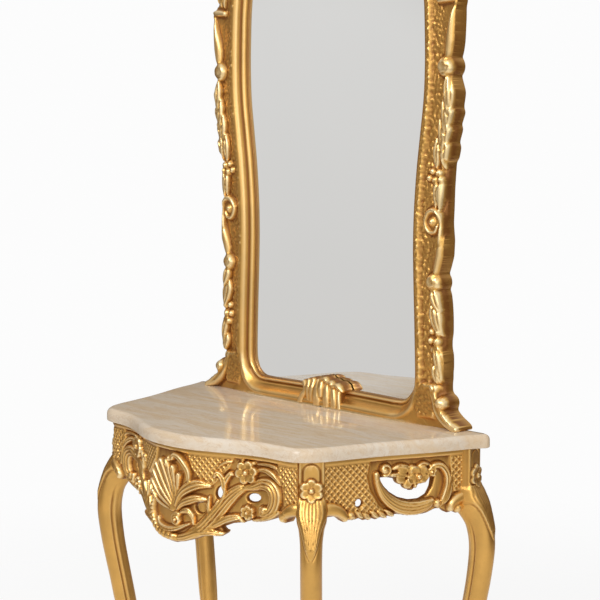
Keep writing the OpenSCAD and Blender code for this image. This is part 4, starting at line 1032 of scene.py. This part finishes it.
def ornaments(relief, base):
    spot = stileSpot

    def leaf(start, end, wide, tall=13.0, bend=0.0, flutes=2):
        # pale paints a highlight on each leaf's crown
        relief.stroke(leafRows(spot(*start), spot(*end), wide, tall, bend), base - 1, flutes=flutes, cut=0.4,
                      shape=5, groove=4.5, timber=False, power=0.4, pale=0.3)

    def roll(z, u, r):
        # a turned roll that runs back along the side, with a ring on its face
        x, y = spot(z, u)
        # pale paints a highlight on the roll and more on its ring
        relief.boss(x, y, r, 15, base, shape=4, pale=0.1)
        relief.boss(x - 4, y + 1, r * 0.58, 3, base + 13.5, shape=3, pale=0.25)

    def flowers(*group):
        for z, u, r in group:
            x, y = spot(z, u)
            relief.boss(x, y, r, 12, base, timber=False)
            relief.boss(x - 1.5, y + 1, r * 0.36, 14, base, timber=False)

    def stem(*knots):
        # pale paints a faint highlight along the stem
        relief.stroke([spot(z, u) + tuple(size) for z, u, *size in knots], base, shape=2.4, timber=False,
                      pale=0.12)

    # corner: the roll under the stile and the leaf that sweeps to the tip
    # pale paints a highlight on the corner leaf and on the ring of its roll
    relief.stroke([(350, 90, 5, 10), (362, 64, 10, 14), (378, 38, 14, 19), (402, 17, 13, 21),
                   (430, 4, 10, 21)], base, flutes=2, cut=0.25,
                  shape=5, power=0.35, pale=0.1)
    relief.boss(384, 56, 17, 20, base, shape=5)
    relief.boss(380, 57, 9, 3, base + 19, pale=0.2)
    # leaves and flowers from the foot to the waist
    leaf((134, 80), (58, 88), 18, 14, 3, 3)
    leaf((180, 82), (110, 96), 17, 15, 4, 3)
    flowers((212, 70, 9), (209, 88, 10), (191, 66, 9.5), (189, 84, 11.5), (171, 74, 10), (173, 92, 8.5))
    leaf((276, 80), (204, 97), 19, 14, -4, 3)
    leaf((308, 80), (256, 98), 15, 16, -3, 2)
    roll(321, 79, 22)
    # smooth stem that rises from the ball along the outer side and crooks over into the volute
    stem((334, 92, 18, 12), (362, 97, 20, 13), (392, 104, 18, 14), (420, 112, 15, 14))
    relief.stroke([spot(412, 99) + (6, 13), spot(440, 101) + (6, 14), spot(462, 101) + (6, 14),
                   spot(480, 94) + (7, 15), spot(488, 80) + (8, 15), spot(482, 64) + (8, 15),
                   spot(464, 55) + (7, 14), spot(446, 59) + (6.5, 14), spot(436, 71) + (6, 13),
                   spot(439, 84) + (5, 12), spot(451, 90) + (4.5, 11)], base, shape=2.2, timber=False)
    x, y = spot(461, 75)
    relief.boss(x, y, 20, 7, base, timber=False, shape=8)
    relief.boss(x, y, 12, 12, base, timber=False, shape=5)
    relief.boss(x, y, 6, 4, base + 11, timber=False)
    # twin blades, the second flower group, and leaves laid like scales up to the ball
    leaf((556, 78), (494, 82), 9, 13, 2, 0)
    leaf((560, 96), (488, 94), 10, 13, -2, 0)
    flowers((576, 66, 9), (574, 84, 11), (560, 58, 9), (557, 75, 11), (560, 92, 9.5))
    leaf((650, 72), (584, 76), 12)
    leaf((656, 94), (588, 97), 14)
    leaf((706, 82), (628, 88), 19, 13, 2, 3)
    leaf((744, 86), (668, 92), 18, 14, 2, 3)
    leaf((780, 88), (708, 96), 17, 15, 2, 3)
    roll(799, 79, 24)
    stem((814, 92, 17, 12), (850, 95, 21, 13), (888, 105, 19, 14), (926, 117, 14, 14))
    relief.stroke([spot(936, 62) + (7, 13), spot(936, 84) + (8, 14), spot(936, 106) + (7, 12)], base,
                  shape=2.2)
    # above the photograph's edge: florets, a volute on the shoulder and leaves along the arch
    for z0, z1, u0, u1 in ((1002, 950, 78, 80), (1010, 958, 92, 98), (990, 948, 66, 66)):
        relief.stroke(leafRows(spot(z0, u0), spot(z1, u1), 10, 12.5, 2), base, flutes=2)
    for back in (340, 200, 62):
        x, y = lineSpot(crownLength - back, 80)
        for k in range(5):
            a = math.radians(72 * k + 20)
            relief.boss(x + 11 * math.cos(a), y + 11 * math.sin(a), 8.5, 12, base)
        relief.boss(x, y, 6, 15, base)
    for first, last, u0, u1 in ((324, 276, 78, 92), (314, 262, 92, 100), (300, 252, 70, 76),
                                (186, 140, 76, 88), (180, 128, 90, 98), (166, 118, 70, 72), (128, 84, 80, 90),
                                (216, 250, 78, 90), (212, 246, 92, 100)):
        root, tip = lineSpot(crownLength - first, u0), lineSpot(crownLength - last, u1)
        relief.stroke(leafRows(root, tip, 10, 12, 2), base, flutes=2)
    relief.boss(*lineSpot(crownLength - 250, 84), 13, 15, base)


def frontPlace(pos, high, sign=1):
    return np.stack([sign * pos[:, 0], tablePlan["back"] - high, tablePlan["height"] + pos[:, 1]], 1)


def makeFrame():
    relief, width = frameCarving()
    gap = framePlan["gap"]

    def backAt(pos):
        # the rebate behind the opening holds the glass and its board
        used = timberOf(relief.wood)[1] > 0
        return np.where(width[used] < framePlan["rebate"], framePlan["glass"] + gap, gap)

    for sign, side in ((1, "right"), (-1, "left")):
        piece = carvePiece("mirrorFrame" + side.title(), relief, partial(frontPlace, sign=sign), backAt,
                           framePlan["thin"], sanding=10)
        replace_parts(piece, "mirror_stile_" + side, "mirror_arch_" + side, "mirror_foot_" + side,
                    "stile_carving_" + side, "mirror_base_rail", "arch_carvings", "toe_scrolls")


makeFrame()

# ribbed shell on the foot rail

shellPlan = {"cell": 1.2, "left": -104, "right": 90, "top": 82, "back": 17, "thin": 0.5}
shellOutline = [(-84, -4), (-84, 12), (-70, 26), (-66, 36), (-76, 50), (-70, 58), (-52, 61), (-34, 64),
                (-18, 67), (-2, 73), (12, 75), (20, 69), (32, 69), (42, 65), (56, 65), (70, 58), (72, 48),
                (62, 36), (66, 20), (68, -4)]
shellFlutes = [
    [(-68, 52, 5, 7), (-58, 36, 6, 8), (-70, 16, 7, 9), (-76, 1, 8, 9)],
    [(-52, 57, 5, 8), (-48, 38, 6, 9), (-46, 14, 5, 6)],
    [(-36, 60, 6, 9), (-35, 38, 6.5, 10), (-35, 12, 5, 6)],
    [(-20, 60, 5, 8), (-19, 40, 8, 10), (-17, 14, 10, 11), (-16, 1, 8, 8)],
    [(-8, 66, 6, 9), (-7, 46, 6, 9), (-4, 26, 4, 6)],
    # to the right of the middle
    [(12, 54, 6, 8), (15, 36, 8, 10), (17, 14, 8.5, 11), (18, 1, 7, 9)],
    [(36, 50, 6, 8), (41, 28, 8, 10), (44, 10, 8.5, 11), (45, 1, 8, 9)],
    [(56, 42, 4, 5), (60, 20, 5, 8), (62, 1, 5.5, 9)]]
shellRolls = [
    [(-6, 66, 5, 11), (8, 67, 8, 14), (18, 61, 6, 12)],
    # lower ones to the right
    [(20, 62, 5, 11), (32, 60, 8, 14), (42, 54, 6, 12)],
    [(44, 58, 5, 11), (56, 55, 8, 13), (70, 46, 5, 7)]]


def makeBaseShell():
    plan = shellPlan
    pos = grid((plan["left"], plan["right"]), (0.4, plan["top"]), plan["cell"])
    relief = Relief(pos, np.interp(pos[..., 1], [0, 24, 44, 60, 80], [46, 46, 43, 37, 28]))
    bump = Relief(pos)
    # pale paints a highlight on the crowns of the flutes and rolls
    for rows in shellFlutes:
        bump.stroke([(x, y, w * 1.3, tall * 0.75) for x, y, w, tall in rows], shape=2.2, groove=0.7,
                    pale=0.25)
    for rows in shellRolls:
        bump.stroke(rows, shape=2.2, pale=0.15)
    relief.board(shellOutline)
    relief.high, relief.pale = soften(relief.high + bump.high, 2), bump.pale
    relief.wood = soften(np.maximum(relief.wood, bump.wood), 3)
    relief.wood = np.minimum(relief.wood, pos[..., 1] - 0.2)
    relief.roundRim(4, 5)
    piece = carvePiece("baseShell", relief, frontPlace, plan["back"], plan["thin"])
    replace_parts(piece, "base_shell")


makeBaseShell()

# crest: a shell between two C scrolls that lie on the arch

crestPlan = {"cell": 1.8, "half": 300, "low": 1160, "top": 1400, "base": 8.0, "back": 4, "thin": 0.4}


def makeCrest():
    plan = crestPlan
    base = plan["base"]
    relief = Relief(grid((-plan["half"], plan["half"]), (plan["low"], plan["top"]), plan["cell"]), base)
    crownZ = framePlan["rail"] + framePlan["opening"] + framePlan["width"]
    for k in range(9):
        a = math.radians(90 + (k - 4) * 17)
        reach = 110 - 3.2 * abs(k - 4)
        ux, uz = math.cos(a), math.sin(a)
        rib = [(14, -10, 4, 18), (reach * 0.5, 0, 9, 22), (reach - 14, 0, 12.5, 27), (reach - 12, 0, 12, 26)]
        relief.stroke([(ux * d, crownZ + up + uz * d, wide, tall) for d, up, wide, tall in rib],
                      base, flutes=2, cut=0.16)
    relief.boss(0, crownZ + 4, 20, 34, base)
    for sign, flip in bothSides():
        spine = [lineSpot(crownLength - d, 108) for d in (70, 110, 150, 190, 225)]
        scroll = [(x, z, wide, 24) for (x, z), wide in zip(spine, (18, 19, 17, 14, 11))]
        relief.stroke(flip([(46, crownZ + 26, 8, 24), (76, crownZ + 44, 13, 26)] + scroll), base, flutes=3)
        relief.stroke(flip([(30, crownZ + 6, 6, 22), (64, crownZ + 8, 10, 26), (104, crownZ - 2, 9, 26),
                            (140, crownZ - 18, 5, 20)]), base, flutes=2)
        x, z = lineSpot(crownLength - 238, 112)
        relief.volute(sign * x, z, 25, 28, base, 90 + 30 * sign, way=sign)
        relief.volute(sign * 74, crownZ + 42, 24, 30, base, 90 - 130 * sign, way=sign)
        for d in (100, 140, 180):
            x, z = lineSpot(crownLength - d, 128)
            relief.stroke(flip(leafRows((x - 6, z - 10), (x + 14, z + 10), 7, 18, 2)), base, flutes=2)
    # it ends on the arch, 62 mm from the opening
    right = linePoints + 62 * lineOut
    fence = np.concatenate([right[::-1] * (-1, 1), right])[::4]
    inside = outlineReach(relief.pos.reshape(-1, 2), fence).reshape(relief.high.shape)
    relief.wood = np.minimum(relief.wood, np.minimum(-inside, plan["top"] - relief.pos[..., 1]))
    relief.high = soften(relief.high, 1)
    relief.roundRim(4, 5)
    piece = carvePiece("crestCarving", relief, frontPlace, plan["back"], plan["thin"], deep=6)
    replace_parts(piece, "crest_shell", "crest_scrolls")


makeCrest()

# CAD nodes that stay, each with its own finish

steelParts = ("rail_screws", "leg_bolts", "bolt_washers", "bolt_nuts", "cleat_screws", "turn_buttons",
              "button_screws", "hanger_plates", "hanger_screws", "joining_plates", "joining_screws")
nodeFinish = {
    "back_rail": deal, "apron_dowels": deal, "corner_blocks": deal, "bearer_cleats": deal, "frame_keys": deal,
    "bearer_right": dealDeep, "bearer_left": dealDeep, "backing_board": backing, "mirror_glass": mirrorSilver,
    "marble_pads": padding, "foot_glides": gliding,
    **dict.fromkeys(steelParts, steel)}
for name, material in nodeFinish.items():
    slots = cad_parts[name].data.materials
    for i in range(len(slots)):
        slots[i] = material
print("kept nodes finished")

# floor, light and surroundings

stagePlan = {"floor": 3.2, "floorColor": (0.93, 0.93, 0.925, 1), "white": (0.975, 0.975, 0.975, 1), "key": 90,
             "fill": 20, "front": (0.70, -0.69, 0.18), "backdrop": (-0.735, -0.67, -0.06),
             "shade": (0.17, 0.125, 0.085, 1), "studio": (0.80, 0.80, 0.79, 1)}


def seenStraight(tree, glossy):
    # 1 where the camera looks straight or through glass, and the share given in reflections
    path = addNode(tree, "LightPath").outputs
    seen = calc(tree, "MAXIMUM", path["Is Camera Ray"], calc(tree, "MULTIPLY", path["Is Glossy Ray"], glossy))
    return calc(tree, "MAXIMUM", seen, path["Is Transmission Ray"])


def makeStage():
    bpy.ops.mesh.primitive_plane_add(size=2 * stagePlan["floor"], location=(0, 0, 0))
    floor = bpy.context.object
    floor.name = "floor"
    material, tree, _ = startMaterial("pale floor")
    tree.nodes.remove(tree.nodes["Principled BSDF"])
    plain = addNode(tree, "BsdfDiffuse", {"Color": stagePlan["floorColor"]}, 0)
    white = addNode(tree, "Emission", {"Color": stagePlan["white"], "Strength": 1.0}, 0)
    share = calc(tree, "MULTIPLY", seenStraight(tree, 0.3), 0.88)
    both = addNode(tree, "MixShader", {0: share, 1: plain, 2: white}, 0)
    # the floor runs out into the backdrop without an edge
    spread = addNode(tree, "VectorMath", {0: objectPlace(tree)}, "Value", operation="LENGTH")
    fade = remap(tree, spread, 1.3, stagePlan["floor"] - 0.2, interpolation_type="SMOOTHSTEP")
    whole = addNode(tree, "MixShader", {0: fade, 1: both, 2: addNode(tree, "BsdfTransparent", None, 0)}, 0)
    feed(tree, tree.nodes["Material Output"].inputs, Surface=whole)
    floor.data.materials.append(material)


def areaLamp(name, place, target, power, size):
    data = bpy.data.lights.new(name, "AREA")
    data.energy, data.size = power, size
    lamp = bpy.data.objects.new(name, data)
    lamp.location = place
    aim = np.array(target, float) - np.array(place, float)
    down = math.acos(-aim[2] / np.linalg.norm(aim))
    lamp.rotation_euler = (down, 0, math.atan2(aim[1], aim[0]) - math.pi / 2)
    scene.collection.objects.link(lamp)


def makeWorld():
    # white where the camera looks; metal sees a studio that is bright in front and overhead, dark behind,
    # with the white backdrop standing to the left
    world = bpy.data.worlds.new("studio")
    scene.world = world
    world.use_nodes = True
    tree = world.node_tree
    tree.nodes.clear()
    way = addNode(tree, "TexCoord", out="Generated")

    def lobe(direction, low, high):
        lit = addNode(tree, "VectorMath", {0: way, 1: direction}, "Value", operation="DOT_PRODUCT")
        return remap(tree, lit, low, high, interpolation_type="SMOOTHSTEP")

    front, above = lobe(stagePlan["front"], 0.3, 1.0), lobe((0, 0.1, 0.99), 0.2, 0.85)
    studio = mixColor(tree, calc(tree, "ADD", front, above, use_clamp=True), stagePlan["shade"],
                      stagePlan["studio"])
    level = addNode(tree, "SeparateXYZ", {0: way}, 2)
    backdrop = calc(tree, "MULTIPLY", lobe(stagePlan["backdrop"], 0.965, 0.99),
                    remap(tree, level, -0.17, 0.06, 0.615, 0.70))
    lit = addNode(tree, "Background", {"Color": studio, "Strength": 1.0}, 0)
    white = addNode(tree, "Background", {"Color": stagePlan["white"], "Strength": 1.0}, 0)
    both = addNode(tree, "MixShader", {0: seenStraight(tree, backdrop), 1: lit, 2: white}, 0)
    feed(tree, addNode(tree, "OutputWorld").inputs, Surface=both)


makeStage()
makeWorld()
areaLamp("key", (1.0, -3.7, 3.7), (0, 0, 1.0), stagePlan["key"], 2.4)
areaLamp("fill", (3.6, -2.4, 2.0), (0, 0, 0.9), stagePlan["fill"], 2.4)
scene.view_settings.view_transform = "Standard"

print("scene ready")
